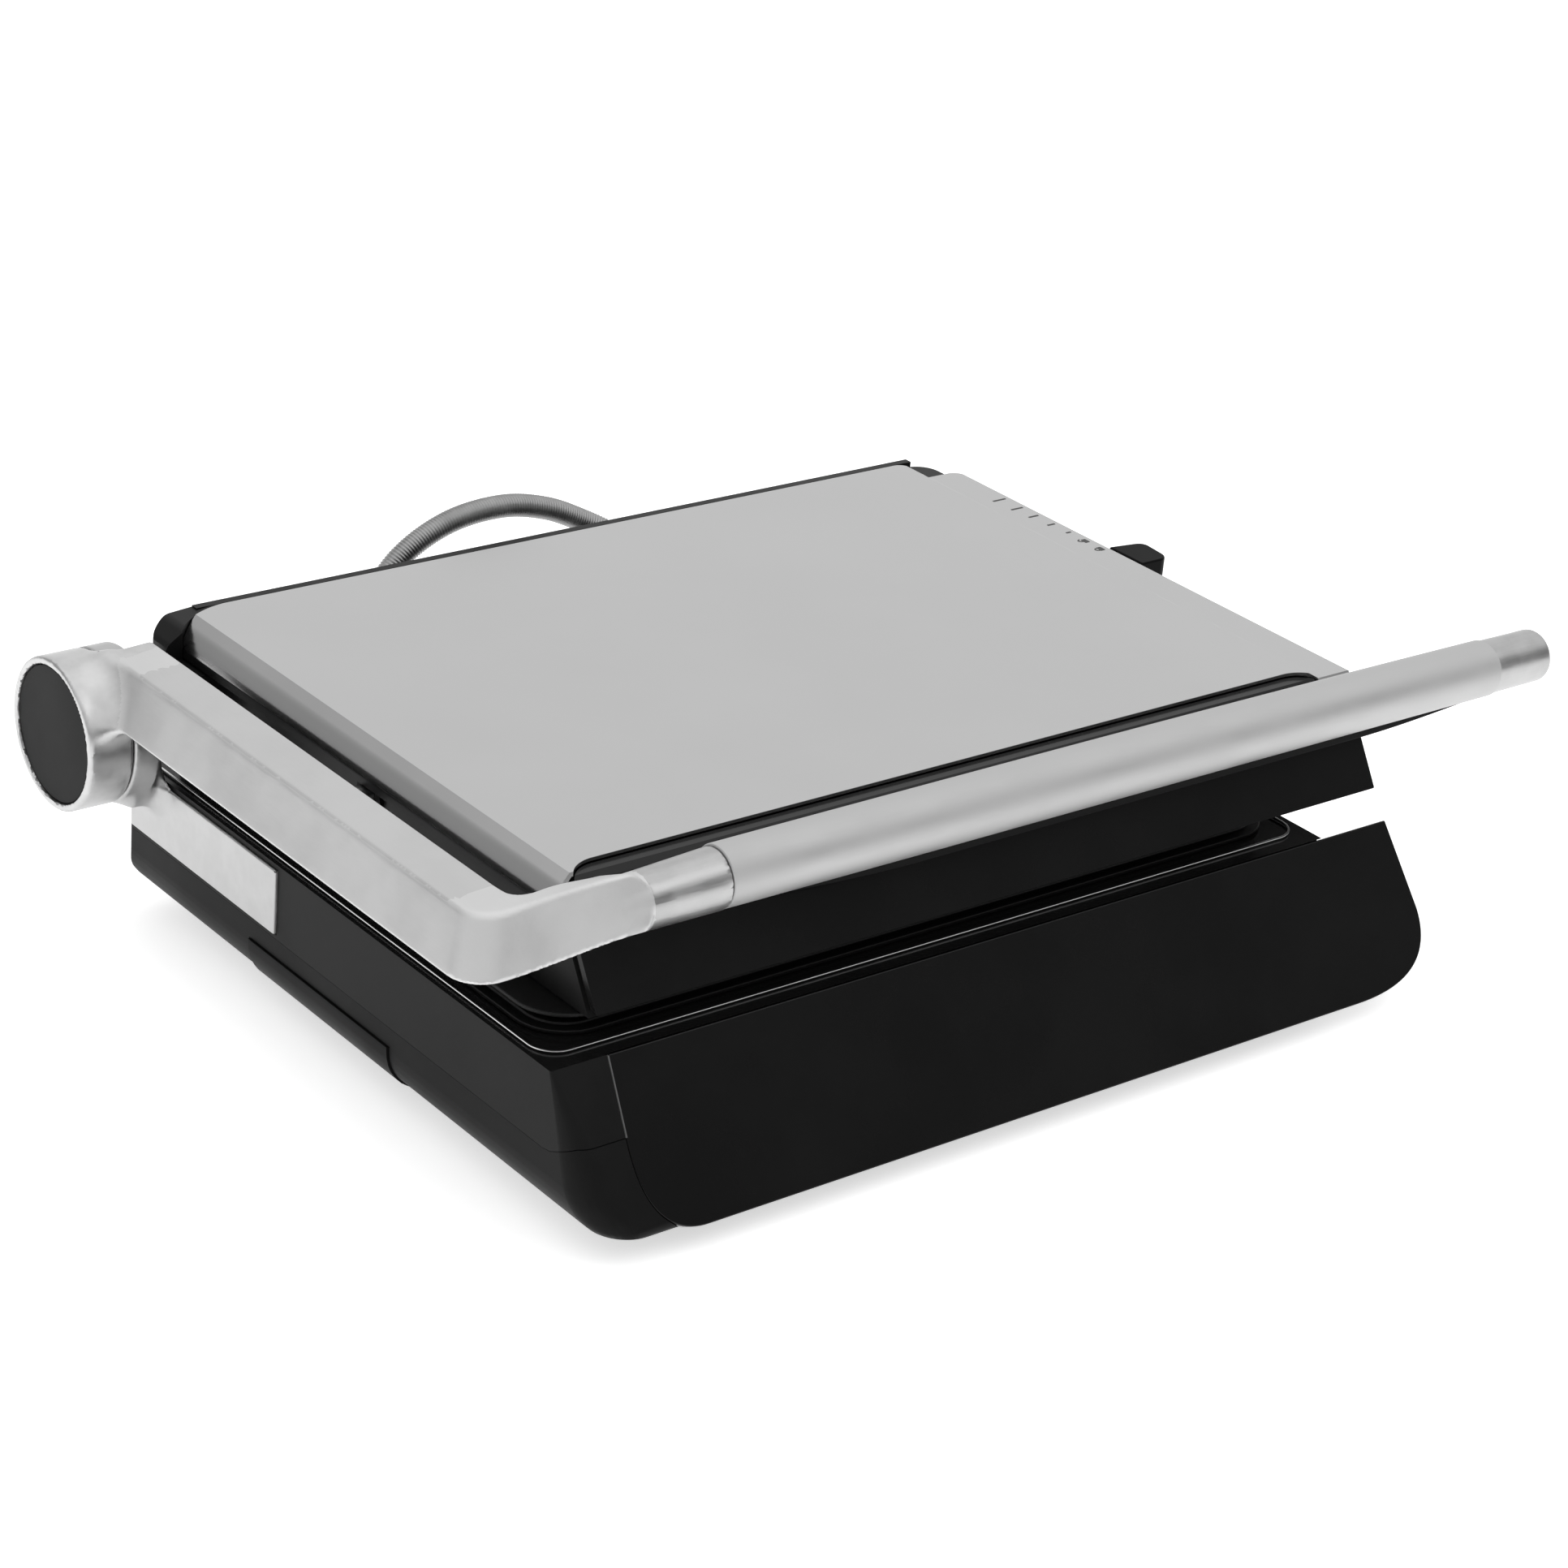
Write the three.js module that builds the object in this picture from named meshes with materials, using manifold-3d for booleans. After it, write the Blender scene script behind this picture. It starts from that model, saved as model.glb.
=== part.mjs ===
// Panini press with a one-armed handle, in millimetres.
// X runs along the grip away from the hinge drum, Y runs to the back, Z is up.
// Points are given from the front left corner of the flat steel top (X, Y) and from the table (Z).
// The finished group is then moved so that its origin is the bottom centre of its bounding box.
import * as THREE from 'three';
import { mergeVertices } from 'three/addons/utils/BufferGeometryUtils.js';
import Module from 'manifold-3d';

const wasm = await Module();
wasm.setup();

// ---------------------------------------------------------------- driving dimensions
const GAP = 0.3;                 // clearance between touching pieces
const WALL = 3;                  // moulded wall thickness
const SHEET = 1.2;               // steel sheet of the top cover

const TOP = 109;                 // height of the flat steel top
const TOP_W = 327;               // flat top, from the left fold to the right step
const TOP_D = 227;               // flat top, from its front edge to the rear band
const FOLD_R = 9;                // radius of the cover's left fold
const STEP_W = 2.6;              // sloping step from the flat top down to the scale ledge
const LEDGE_W = 17.4;            // scale ledge on the right of the flat top, with the step
const LEDGE_DROP = 1.5;
const LEDGE_REAR = 213.5;
const COVER_CORNER = [23, 10.5];  // its rear left corner is cut off by this much in X and Y
const LEDGE_CORNER = 5;          // its rear right corners
const NOTCH = { x0: -1.5, x1: 331, y0: -60, y1: 0, r: 14 };   // notch in the cover's front edge

const LEAN = 0.62;               // front faces lean back, mm of Y per mm of Z
const FRONT_AT_TOP = -5.3;       // Y of the front plane at the height of the top

const LID_LEFT = -4.5;
const LID_RIGHT = 342;
const LID_REAR = 230.5;
const LID_BOTTOM = 68.4;
const LID_HEEL = 3.4;            // the lower rear edge is cut off so that it clears the base as it swings
const PANEL_BOTTOM = 70.4;
const SHOULDER = { x: -17, y: 200, z: 84 };   // the lid's rear shoulder: left, front and lower faces

const DECK = 60;                 // top face of the base
const BODY_LEFT = -25;
const BODY_RIGHT = 311;          // the fascia reaches past it on the right
const BODY_REAR = 225;
const BODY_CORNER = 4;
const FRONT_CORNER = 20;         // front left corner at the bottom; it tapers to a point at the deck
const BODY_BOTTOM = 6;
const BODY_ROUND = 18;           // rounding of the lower long edges
const BODY_DRAFT = 4;            // the right wall leans out by this much towards the bottom
const FASCIA_T = 3;
const FASCIA_BOTTOM = 9;

const PLATE = { x0: -17, x1: 303, y0: -22, y1: 214, r: 18 };   // rim of both grill plates
const WELL = { x0: 1, x1: 295, y0: -14, y1: 206, r: 10 };    // opening that each plate drops into
const LOWER_RIM_TOP = 61.8;
const UPPER_RIM_BOTTOM = 66.4;
const UPPER_RIM_TOP = 67.9;
const RIB_PITCH = 12;
const RIB_H = 3;

const AXIS_Y = 217;              // hinge axis, parallel to X
const AXIS_Z = 77.8;
const DRUM_R = 27.5;
const DRUM_OUTER = -59.8;        // outer face of the moving drum
const DRUM_SEAM = -42.7;         // seam between the moving and the fixed drum
const DRUM_INNER = -32;
const SHAFT_R = 5;

const ARM = { inner: -23.8, crease: -41.3, outer: -50, top: 107.3, bottom: 89.6, front: -35, back: -13.2 };
const ARM_BEND = { outer: 24, inner: 8 };    // radii of the bend at the front left corner
const BAR_Y = -23.2;             // axis of the grip, parallel to X
const BAR_Z = TOP - 4.35;
const BAR_R = 10.9;
const COLLAR_START = 12;
const COLLAR_END = 43.5;
const SPIGOT_R = 8.2;            // tongue of the arm inside the grip
const SLEEVE_END = 397;          // the satin sleeve ends here and the bright end begins
const BAR_END = 425;
const END_R = BAR_R - 0.4;
const SLOT_W = 5.2;              // half width of the slot under the grip
const PIVOT_Y = 100;             // pivot that carries the lid on the arm
const PIVOT_Z = 92.9;
const PIVOT_R = 3.5;

const TRAY = { y0: 53, y1: 141, top: 25, bottom: 9.6, end: 118 };
const SLOT = { y0: 99, y1: 207, z: 97 };  // slot of the height slider
const KNOB_Y = 114.7;
const KNOB = { x0: 345.2, x1: 361, half: 9.5, z0: 92, z1: 107.6, r: 4 };
const CONDUIT_R = 4.5;
const CONDUIT_BASE = [78, 44];   // X and Z of the conduit's socket in the base
const CONDUIT_LID = [200, 95];   // X and Z of its grommet in the lid
const CORD = [280, 26];          // X and Z of the mains cord's gland
const GLAND_R = 6;
const GROMMET_R = 8;             // leaves the conduit room while the lid floats on its pivot

const frontY = (z) => FRONT_AT_TOP + LEAN * (z - TOP);

// ---------------------------------------------------------------- materials
const finish = (color, roughness, metalness) => (
  new THREE.MeshStandardMaterial({ color, roughness, metalness })
);
const STEEL = finish(0xbfbfbf, 0.32, 1);
const CAST = finish(0xc6c6c6, 0.3, 1);
const BLACK = finish(0x2b2b2b, 0.45, 0);
const GLOSS = finish(0x161616, 0.12, 0);
const IRON = finish(0x1f1f1f, 0.6, 0.3);
const ZINC = finish(0x9a9c9e, 0.4, 1);
const RUBBER = finish(0x141414, 0.9, 0);
const BOARD = finish(0x23402c, 0.6, 0);

// ---------------------------------------------------------------- solids
function solid(geometry) {
  const bare = geometry.index ? geometry.toNonIndexed() : geometry.clone();
  bare.deleteAttribute('normal');
  bare.deleteAttribute('uv');
  const merged = mergeVertices(bare, 1e-4);
  return new wasm.Manifold(new wasm.Mesh({
    numProp: 3,
    vertProperties: new Float32Array(merged.attributes.position.array),
    triVerts: new Uint32Array(merged.index.array),
  }));
}

const group = new THREE.Group();

function node(name, shape, material) {
  const mesh = shape.getMesh();
  const geometry = new THREE.BufferGeometry();
  geometry.setAttribute('position', new THREE.BufferAttribute(mesh.vertProperties, 3));
  geometry.setIndex(new THREE.BufferAttribute(mesh.triVerts, 1));
  geometry.computeVertexNormals();
  const piece = new THREE.Mesh(geometry, material);
  piece.name = name;
  group.add(piece);
}

function outline(points) {
  return new THREE.Shape(points.map(([u, v]) => new THREE.Vector2(u, v)));
}

function roundedOutline({ x0, x1, y0, y1, r }) {
  const shape = new THREE.Shape();
  shape.moveTo(x0 + r, y0);
  shape.lineTo(x1 - r, y0);
  shape.absarc(x1 - r, y0 + r, r, -Math.PI / 2, 0, false);
  shape.lineTo(x1, y1 - r);
  shape.absarc(x1 - r, y1 - r, r, 0, Math.PI / 2, false);
  shape.lineTo(x0 + r, y1);
  shape.absarc(x0 + r, y1 - r, r, Math.PI / 2, Math.PI, false);
  shape.lineTo(x0, y0 + r);
  shape.absarc(x0 + r, y0 + r, r, Math.PI, 1.5 * Math.PI, false);
  return shape;
}

function extrude(shape, depth, curveSegments = 6) {
  return new THREE.ExtrudeGeometry(shape, { depth, bevelEnabled: false, curveSegments });
}

// An outline in (X, Y), extruded upwards.
function alongZ(shape, z0, z1, segments) {
  return solid(extrude(shape, z1 - z0, segments).translate(0, 0, z0));
}

// An outline in (Y, Z), extruded along X.
function alongX(shape, x0, x1, segments) {
  const geometry = extrude(shape, x1 - x0, segments);
  const basis = new THREE.Matrix4().makeBasis(
    new THREE.Vector3(0, 1, 0), new THREE.Vector3(0, 0, 1), new THREE.Vector3(1, 0, 0));
  return solid(geometry.applyMatrix4(basis).translate(x0, 0, 0));
}

// An outline in (X, Z), extruded along Y towards the back.
function alongY(shape, y0, y1, segments) {
  const geometry = extrude(shape, y1 - y0, segments);
  const basis = new THREE.Matrix4().makeBasis(
    new THREE.Vector3(1, 0, 0), new THREE.Vector3(0, 0, 1), new THREE.Vector3(0, -1, 0));
  return solid(geometry.applyMatrix4(basis).translate(0, y1, 0));
}

// An outline in (X, distance up the front plane), whose origin is the fascia's top edge.
function onFront(shape, n0, n1, segments) {
  const up = new THREE.Vector3(0, LEAN, 1).normalize();
  const out = new THREE.Vector3(1, 0, 0).cross(up);
  const geometry = extrude(shape, n1 - n0, segments).translate(0, 0, n0);
  const basis = new THREE.Matrix4().makeBasis(new THREE.Vector3(1, 0, 0), up, out);
  return solid(geometry.applyMatrix4(basis).translate(0, frontY(DECK), DECK));
}

function box(x0, x1, y0, y1, z0, z1) {
  const geometry = new THREE.BoxGeometry(x1 - x0, y1 - y0, z1 - z0);
  return solid(geometry.translate((x0 + x1) / 2, (y0 + y1) / 2, (z0 + z1) / 2));
}

function slab(rect, z0, z1, segments) {
  return alongZ(roundedOutline(rect), z0, z1, segments);
}

function grown(rect, by) {
  return {
    x0: rect.x0 - by, x1: rect.x1 + by, y0: rect.y0 - by, y1: rect.y1 + by,
    r: Math.max(rect.r + by, 0.5),
  };
}

function rodX(x0, x1, y, z, r, sides = 32) {
  const geometry = new THREE.CylinderGeometry(r, r, x1 - x0, sides);
  return solid(geometry.rotateZ(Math.PI / 2).translate((x0 + x1) / 2, y, z));
}

function rodY(y0, y1, x, z, r, sides = 24) {
  const geometry = new THREE.CylinderGeometry(r, r, y1 - y0, sides);
  return solid(geometry.translate(x, (y0 + y1) / 2, z));
}

function rodZ(z0, z1, x, y, r, sides = 24) {
  const geometry = new THREE.CylinderGeometry(r, r, z1 - z0, sides);
  return solid(geometry.rotateX(Math.PI / 2).translate(x, y, (z0 + z1) / 2));
}

// A round tube or rod along a smooth curve through the points.
function tube(points, r, sides, steps) {
  const path = new THREE.CatmullRomCurve3(points.map((p) => new THREE.Vector3(...p)));
  const section = new THREE.Shape();
  section.absarc(0, 0, r, 0, 2 * Math.PI, false);
  const geometry = new THREE.ExtrudeGeometry(section, {
    steps, extrudePath: path, curveSegments: sides, bevelEnabled: false,
  });
  return solid(geometry);
}

// ---------------------------------------------------------------- base
// The front wall is thick enough for the fascia's recess.
const FRONT_INSET = (FASCIA_T + 1 + WALL) * Math.hypot(1, LEAN);

// A block whose front left edge is sharp at the deck and widely rounded at the bottom. Its left
// and front faces lie just outside the body's own.
function taperedCorner(inset, frontShift) {
  const points = [];
  for (const [z, r] of [[BODY_BOTTOM - 1, FRONT_CORNER - inset], [DECK + 1, 0.6]]) {
    const x = BODY_LEFT + inset - 0.05;
    const y = frontY(z) + frontShift - 0.06;
    points.push([x, BODY_REAR + 50, z], [BODY_RIGHT + 50, BODY_REAR + 50, z], [BODY_RIGHT + 50, y, z]);
    for (let i = 0; i <= 10; i += 1) {
      const angle = Math.PI * (1 + i / 20);
      points.push([x + r + r * Math.cos(angle), y + r + r * Math.sin(angle), z]);
    }
  }
  return wasm.Manifold.hull(points);
}

// The body's outer form: side view, front view and plan view cut together.
function bodyForm(inset) {
  const round = BODY_ROUND - inset;
  const low = BODY_BOTTOM + inset;
  const frontShift = inset > 0 ? FRONT_INSET : 1.3 * inset;
  const front = frontY(DECK) + frontShift;
  const side = new THREE.Shape();
  side.moveTo(front, DECK - inset);
  side.lineTo(front - LEAN * (DECK - 11), 11 + inset);
  side.lineTo(-60 + inset, low);
  side.lineTo(BODY_REAR - 12, low);
  side.absarc(BODY_REAR - 12, BODY_BOTTOM + 12, 12 - inset, -Math.PI / 2, 0, false);
  side.lineTo(BODY_REAR - inset, DECK - inset);
  const face = new THREE.Shape();
  face.moveTo(BODY_LEFT + inset, DECK + 1);
  face.lineTo(BODY_LEFT + inset, BODY_BOTTOM + BODY_ROUND);
  face.absarc(BODY_LEFT + BODY_ROUND, BODY_BOTTOM + BODY_ROUND, round, Math.PI, 1.5 * Math.PI, false);
  face.absarc(BODY_RIGHT + BODY_DRAFT - BODY_ROUND, BODY_BOTTOM + BODY_ROUND, round, -Math.PI / 2, 0, false);
  face.lineTo(BODY_RIGHT - inset, DECK + 1);
  const plan = new THREE.Shape();
  plan.moveTo(BODY_LEFT, -80);
  plan.lineTo(BODY_RIGHT + 10, -80);
  plan.lineTo(BODY_RIGHT + 10, BODY_REAR - 20);
  plan.absarc(BODY_RIGHT + BODY_DRAFT - 10, BODY_REAR - 10, 10 - inset, 0, Math.PI / 2, false);
  const corner = Math.max(BODY_CORNER - inset, 0.5);
  plan.absarc(BODY_LEFT + inset + corner, BODY_REAR - inset - corner, corner, Math.PI / 2, Math.PI, false);
  return alongX(side, BODY_LEFT - 5, BODY_RIGHT + 10)
    .intersect(alongY(face, -80, BODY_REAR + 1, 8))
    .intersect(alongZ(plan, 0, DECK + 1))
    .intersect(taperedCorner(inset, frontShift));
}

// The fascia widens downwards and has large lower corners.
function fasciaOutline(by) {
  const bottom = -(DECK - FASCIA_BOTTOM) * Math.hypot(1, LEAN);
  const shape = new THREE.Shape();
  shape.moveTo(-3.4 - by, by);
  shape.lineTo(-4.6 - by, -30);
  shape.quadraticCurveTo(-4.9 - by, bottom - by, 17.5, bottom - by);
  shape.lineTo(308, bottom - by);
  shape.quadraticCurveTo(348.6 + by, bottom - by, 347.4 + by, -34);
  shape.lineTo(343 + by, by);
  return shape;
}

const TRAY_DOOR = box(BODY_LEFT - 5, -2, TRAY.y0, TRAY.y1, 0, TRAY.top + GAP);
const BRACKET = { y0: 124, y1: 220.7, z0: 34, z1: 58 };
const WEB = { y0: 200, y1: 220, z0: 50, z1: 64 };
const BRACKET_PROUD = 1;

function bracketWindow(by) {
  const { y0, y1, z0, z1 } = BRACKET;
  const shape = outline([[y0 - by, z0 - by], [y1 + by, z0 - by], [y1 + by, z1 + by], [y0 - by, z1 + by]]);
  return alongX(shape, BODY_LEFT - BRACKET_PROUD, BODY_LEFT + WALL);
}

const UNDERSIDE = { x0: -4.7, x1: 291.7, y0: -53.7, y1: 207.7, r: 3 };

// A thin wall that carries the fascia where it reaches past the body.
function fasciaWing() {
  return onFront(fasciaOutline(-4), -FASCIA_T - GAP - WALL, -FASCIA_T - GAP, 8)
    .intersect(box(BODY_RIGHT - 10, BODY_RIGHT + 60, -90, 0, 0, DECK));
}

function baseHousing() {
  const opening = slab(WELL, DECK - 10, DECK + 5);
  return bodyForm(0)
    .subtract(bodyForm(WALL))
    .add(fasciaWing())
    .subtract(opening)
    .subtract(box(UNDERSIDE.x0 - GAP, UNDERSIDE.x1 + GAP, UNDERSIDE.y0 - GAP, UNDERSIDE.y1 + GAP, 0, 10))
    .subtract(onFront(fasciaOutline(GAP), -FASCIA_T - GAP, 6, 8))
    .subtract(TRAY_DOOR)
    .subtract(bracketWindow(GAP))
    .subtract(rodY(BODY_REAR - 6, BODY_REAR + 2, ...CONDUIT_BASE, GLAND_R + GAP))
    .subtract(rodY(BODY_REAR - 6, BODY_REAR + 2, ...CORD, GLAND_R + GAP));
}

node('base_housing', baseHousing(), BLACK);
node('bottom_cover', slab(UNDERSIDE, 6, 8.6), BLACK);
node('front_fascia', onFront(fasciaOutline(0), -FASCIA_T, 0, 10), GLOSS);

const TRIM = { x0: -22.4, x1: 307, y0: -28.8, y1: 218, r: 10 };
node('deck_trim_ring', slab(TRIM, DECK + GAP, DECK + 1.1, 8)
  .subtract(slab(grown(TRIM, -1.4), DECK - 1, DECK + 3, 8)), ZINC);

// A grill plate lying face up: ribs along Y, a gutter, a raised rim, and a body below.
function ribs(z, height) {
  const points = [[14, z - 2]];
  for (let x = 20; x < 276; x += RIB_PITCH) {
    points.push([x, z - 0.6], [x + 2, z + height], [x + 6, z + height], [x + 8, z - 0.6]);
  }
  points.push([286, z - 2]);
  return alongY(outline(points), -6, 198);
}

function grillPlate() {
  const rim = slab(PLATE, DECK + GAP, LOWER_RIM_TOP).subtract(slab(grown(WELL, -2), DECK, 70));
  const body = slab(grown(WELL, -0.6), 51, DECK + 0.8).subtract(slab(grown(WELL, -3), 54, 70));
  return rim.add(body).add(ribs(54, RIB_H + 3.6));
}

const SPOUT = { x: 14, y: 97 };   // grease falls here into the drip tray
node('lower_plate', grillPlate()
  .add(rodZ(46, 53, SPOUT.x, SPOUT.y, 8)).subtract(rodZ(40, 58, SPOUT.x, SPOUT.y, 5.5)), IRON);

// A heating element: a tube with two long bends and both ends at the right.
function heaterPath(z) {
  const turns = [];
  for (let leg = 0; leg < 4; leg += 1) {
    const y = 12 + leg * 54;
    const [from, to] = leg % 2 === 0 ? [284, 46] : [46, 284];
    turns.push([from, y, z], [(from + to) / 2, y, z], [to, y, z]);
  }
  return turns;
}
node('lower_heater', tube(heaterPath(46.6), 3.4, 3, 60), ZINC);
node('lower_reflector', slab({ x0: 20, x1: 296, y0: -14, y1: 206, r: 8 }, 32, 43)
  .subtract(slab({ x0: 21, x1: 295, y0: -13, y1: 205, r: 7 }, 33, 50)), ZINC);

const TRAY_GUIDE = box(-5, 123, 51.4, 142.6, 9, 28.6);
node('tray_guide', TRAY_GUIDE.subtract(box(-20, 121, 53, 141, 0, 27))
  .subtract(rodZ(20, 40, SPOUT.x, SPOUT.y, 9)), ZINC);

const FRONT_WALL = -FASCIA_T - 1 - WALL;
node('touch_control_board', onFront(outline([[60, -46], [280, -46], [280, -14], [60, -14]]),
  FRONT_WALL - 5, FRONT_WALL - 3.4), BOARD);
node('power_board', box(236, 266, 10, 110, 12, 13.6), BOARD);
node('power_relay', box(242, 260, 60, 90, 13.9, 29), BLACK);
node('lower_thermostat', rodZ(46, 50.7, 150, 93, 7), ZINC);

const FEET = {
  front_left: [14, -38], front_right: [273, -38], rear_left: [14, 192], rear_right: [273, 192],
};
for (const [place, [x, y]] of Object.entries(FEET)) {
  const profile = [[0, 0], [8.4, 0], [9.4, 1], [9.4, 5.7], [0, 5.7]];
  const lathe = new THREE.LatheGeometry(profile.map(([r, z]) => new THREE.Vector2(r, z)), 24);
  node(`foot_${place}`, solid(lathe.rotateX(Math.PI / 2).translate(x, y, 0)), RUBBER);
}

const gland = rodY(BODY_REAR - WALL - 4, BODY_REAR + 8, ...CORD, GLAND_R)
  .add(rodY(BODY_REAR + GAP, BODY_REAR + 4, ...CORD, GLAND_R + 3))
  .subtract(rodY(BODY_REAR - 20, BODY_REAR + 20, ...CORD, 3.6, 16));
node('cord_gland', gland, BLACK);

// ---------------------------------------------------------------- hinge
function hingeBracket() {
  const drum = rodX(DRUM_SEAM + GAP, DRUM_INNER, AXIS_Y, AXIS_Z, DRUM_R, 48);
  const web = box(DRUM_SEAM + 4, BODY_LEFT - GAP, WEB.y0, WEB.y1, WEB.z0, WEB.z1);
  const fillet = alongX(outline([[WEB.y0 + 1, WEB.z1], [WEB.y0 - 9, WEB.z0], [WEB.y0 + 1, WEB.z0]]),
    DRUM_INNER - 3, BODY_LEFT - GAP);
  return drum.add(web).add(fillet).add(bracketWindow(0))
    .subtract(rodX(-80, -20, AXIS_Y, AXIS_Z, SHAFT_R + GAP, 24));
}
node('hinge_bracket', hingeBracket(), CAST);
node('hinge_backing_plate', box(-21.7, -19.2, 120, 216, 30, 55), ZINC);
for (let i = 0; i < 3; i += 1) {
  node(`bracket_screw_${i + 1}`, rodX(-18.9, -15.9, 134 + 36 * i, 44, 4, 12), ZINC);
}
const shaft = rodX(-56.5, DRUM_INNER - 1, AXIS_Y, AXIS_Z, SHAFT_R, 24);
node('hinge_shaft', shaft, ZINC);

// ---------------------------------------------------------------- handle
const BUSH_R = SHAFT_R + 3;
const CAP_R = 24.6;

function armForm() {
  const { inner, outer, top, bottom, front, back } = ARM;
  const plan = new THREE.Shape();
  plan.moveTo(outer, AXIS_Y - 8);
  plan.lineTo(outer, front + ARM_BEND.outer);
  plan.absarc(outer + ARM_BEND.outer, front + ARM_BEND.outer, ARM_BEND.outer, Math.PI, 1.5 * Math.PI, false);
  plan.lineTo(COLLAR_START + 4, front);
  plan.lineTo(COLLAR_START + 4, back);
  plan.lineTo(inner + ARM_BEND.inner, back);
  plan.absarc(inner + ARM_BEND.inner, back + ARM_BEND.inner, ARM_BEND.inner, -Math.PI / 2, -Math.PI, true);
  plan.lineTo(inner, AXIS_Y - 8);
  const sideCut = outline([
    [inner + 60, bottom], [outer + 1, bottom], [outer, bottom + 2],
    [ARM.crease, top], [inner, top + 0.6], [inner + 60, top + 1.4],
  ]);
  const frontCut = outline([
    [AXIS_Y, bottom - 1], [front + 4, bottom - 1], [front, bottom + 5],
    [front + 1, 98], [-17.5, TOP], [AXIS_Y, TOP],
  ]);
  return alongZ(plan, bottom, TOP + 2, 8)
    .intersect(alongY(sideCut, -60, AXIS_Y))
    .intersect(alongX(frontCut, -70, 60));
}

function handleArm() {
  const drum = rodX(DRUM_OUTER, DRUM_SEAM, AXIS_Y, AXIS_Z, DRUM_R, 48);
  const collar = rodX(COLLAR_START, COLLAR_END, BAR_Y, BAR_Z, BAR_R, 32);
  const spigot = rodX(COLLAR_END - 1, COLLAR_END + 22, BAR_Y, BAR_Z, SPIGOT_R, 24);
  const fixedDrum = rodX(DRUM_SEAM, -20, AXIS_Y, AXIS_Z, DRUM_R + 1.2, 48);
  const panelRoom = outline([
    [frontY(80) - 2.6, 80], [frontY(120) - 2.6, 120], [60, 120], [60, 80],
  ]);
  return armForm()
    .subtract(fixedDrum)
    .subtract(alongX(panelRoom, LID_LEFT - 2, 60))
    .add(drum)
    .add(collar)
    .add(spigot)
    .subtract(rodX(DRUM_OUTER - 1, DRUM_OUTER + 6, AXIS_Y, AXIS_Z, CAP_R + GAP, 48))
    .subtract(rodX(-80, DRUM_SEAM + 1, AXIS_Y, AXIS_Z, BUSH_R + GAP, 24))
    .subtract(rodX(-41, -20, PIVOT_Y, PIVOT_Z, PIVOT_R + GAP, 16));
}
node('handle_arm', handleArm(), CAST);

node('hinge_bush', rodX(DRUM_OUTER + 6.4, DRUM_SEAM - 0.4, AXIS_Y, AXIS_Z, BUSH_R, 24)
  .subtract(rodX(-80, -20, AXIS_Y, AXIS_Z, SHAFT_R + GAP, 24)), BLACK);
node('hinge_washer', rodX(DRUM_OUTER + 4.2, DRUM_OUTER + 5.6, AXIS_Y, AXIS_Z, 14, 24)
  .subtract(rodX(-80, -20, AXIS_Y, AXIS_Z, SHAFT_R + GAP, 24)), ZINC);
node('hinge_cap', rodX(DRUM_OUTER + 0.8, DRUM_OUTER + 2.6, AXIS_Y, AXIS_Z, CAP_R, 48), BLACK);

// The grip is a round tube with a slot below, which a black insert fills.
function gripBar() {
  const slot = box(COLLAR_END + 24, SLEEVE_END - 8, BAR_Y - SLOT_W, BAR_Y + SLOT_W, BAR_Z - 20, BAR_Z - 7.6);
  return rodX(COLLAR_END + GAP, SLEEVE_END, BAR_Y, BAR_Z, BAR_R, 32)
    .add(rodX(SLEEVE_END - 1, BAR_END, BAR_Y, BAR_Z, END_R, 32))
    .subtract(rodX(COLLAR_END, COLLAR_END + 23, BAR_Y, BAR_Z, SPIGOT_R + GAP, 24))
    .subtract(slot);
}
node('grip_bar', gripBar(), STEEL);

function gripInsert() {
  const [left, right] = [COLLAR_END + 24.4, SLEEVE_END - 8.4];
  const [upper, edge, lower] = [BAR_Z - 8.1, BAR_Z - 10, BAR_Z - 13];
  const side = outline([
    [left, upper], [left, edge], [left + 45, lower], [right - 45, lower], [right, edge], [right, upper],
  ]);
  return alongY(side, BAR_Y - SLOT_W + GAP, BAR_Y + SLOT_W - GAP);
}
node('grip_insert', gripInsert(), RUBBER);
node('lid_pivot_pin', rodX(-40.6, 3, PIVOT_Y, PIVOT_Z, PIVOT_R, 20), ZINC);

// ---------------------------------------------------------------- lid
const COVER_LEDGE_TOP = TOP - LEDGE_DROP;
const STEP_IN = 0.6;

function coverSection() {
  const shape = new THREE.Shape();
  shape.moveTo(TOP_W - STEP_IN, TOP);
  shape.lineTo(0, TOP);
  shape.absarc(0, TOP - FOLD_R, FOLD_R, Math.PI / 2, Math.PI, false);
  shape.lineTo(-FOLD_R, TOP - FOLD_R - 3);
  shape.lineTo(-FOLD_R + SHEET, TOP - FOLD_R - 3);
  shape.absarc(0, TOP - FOLD_R, FOLD_R - SHEET, Math.PI, Math.PI / 2, true);
  shape.lineTo(TOP_W - 2 * STEP_IN, TOP - SHEET);
  shape.lineTo(TOP_W - 2 * STEP_IN + STEP_W, COVER_LEDGE_TOP - SHEET);
  shape.lineTo(TOP_W + LEDGE_W, COVER_LEDGE_TOP - SHEET);
  shape.lineTo(TOP_W + LEDGE_W, COVER_LEDGE_TOP);
  shape.lineTo(TOP_W - STEP_IN + STEP_W, COVER_LEDGE_TOP);
  return shape;
}

// The left part of the cover seen from above, with its slanting rear corner.
function coverPlan(by) {
  const [dx, dy] = COVER_CORNER;
  const shape = new THREE.Shape();
  shape.moveTo(250, -80);
  shape.lineTo(250, TOP_D + by);
  shape.lineTo(dx - FOLD_R - by, TOP_D + by);
  shape.quadraticCurveTo(dx / 2 - FOLD_R - by, TOP_D - 1 + by, -FOLD_R - by, TOP_D - dy + by);
  shape.lineTo(-FOLD_R - by, -80);
  return shape;
}

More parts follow.
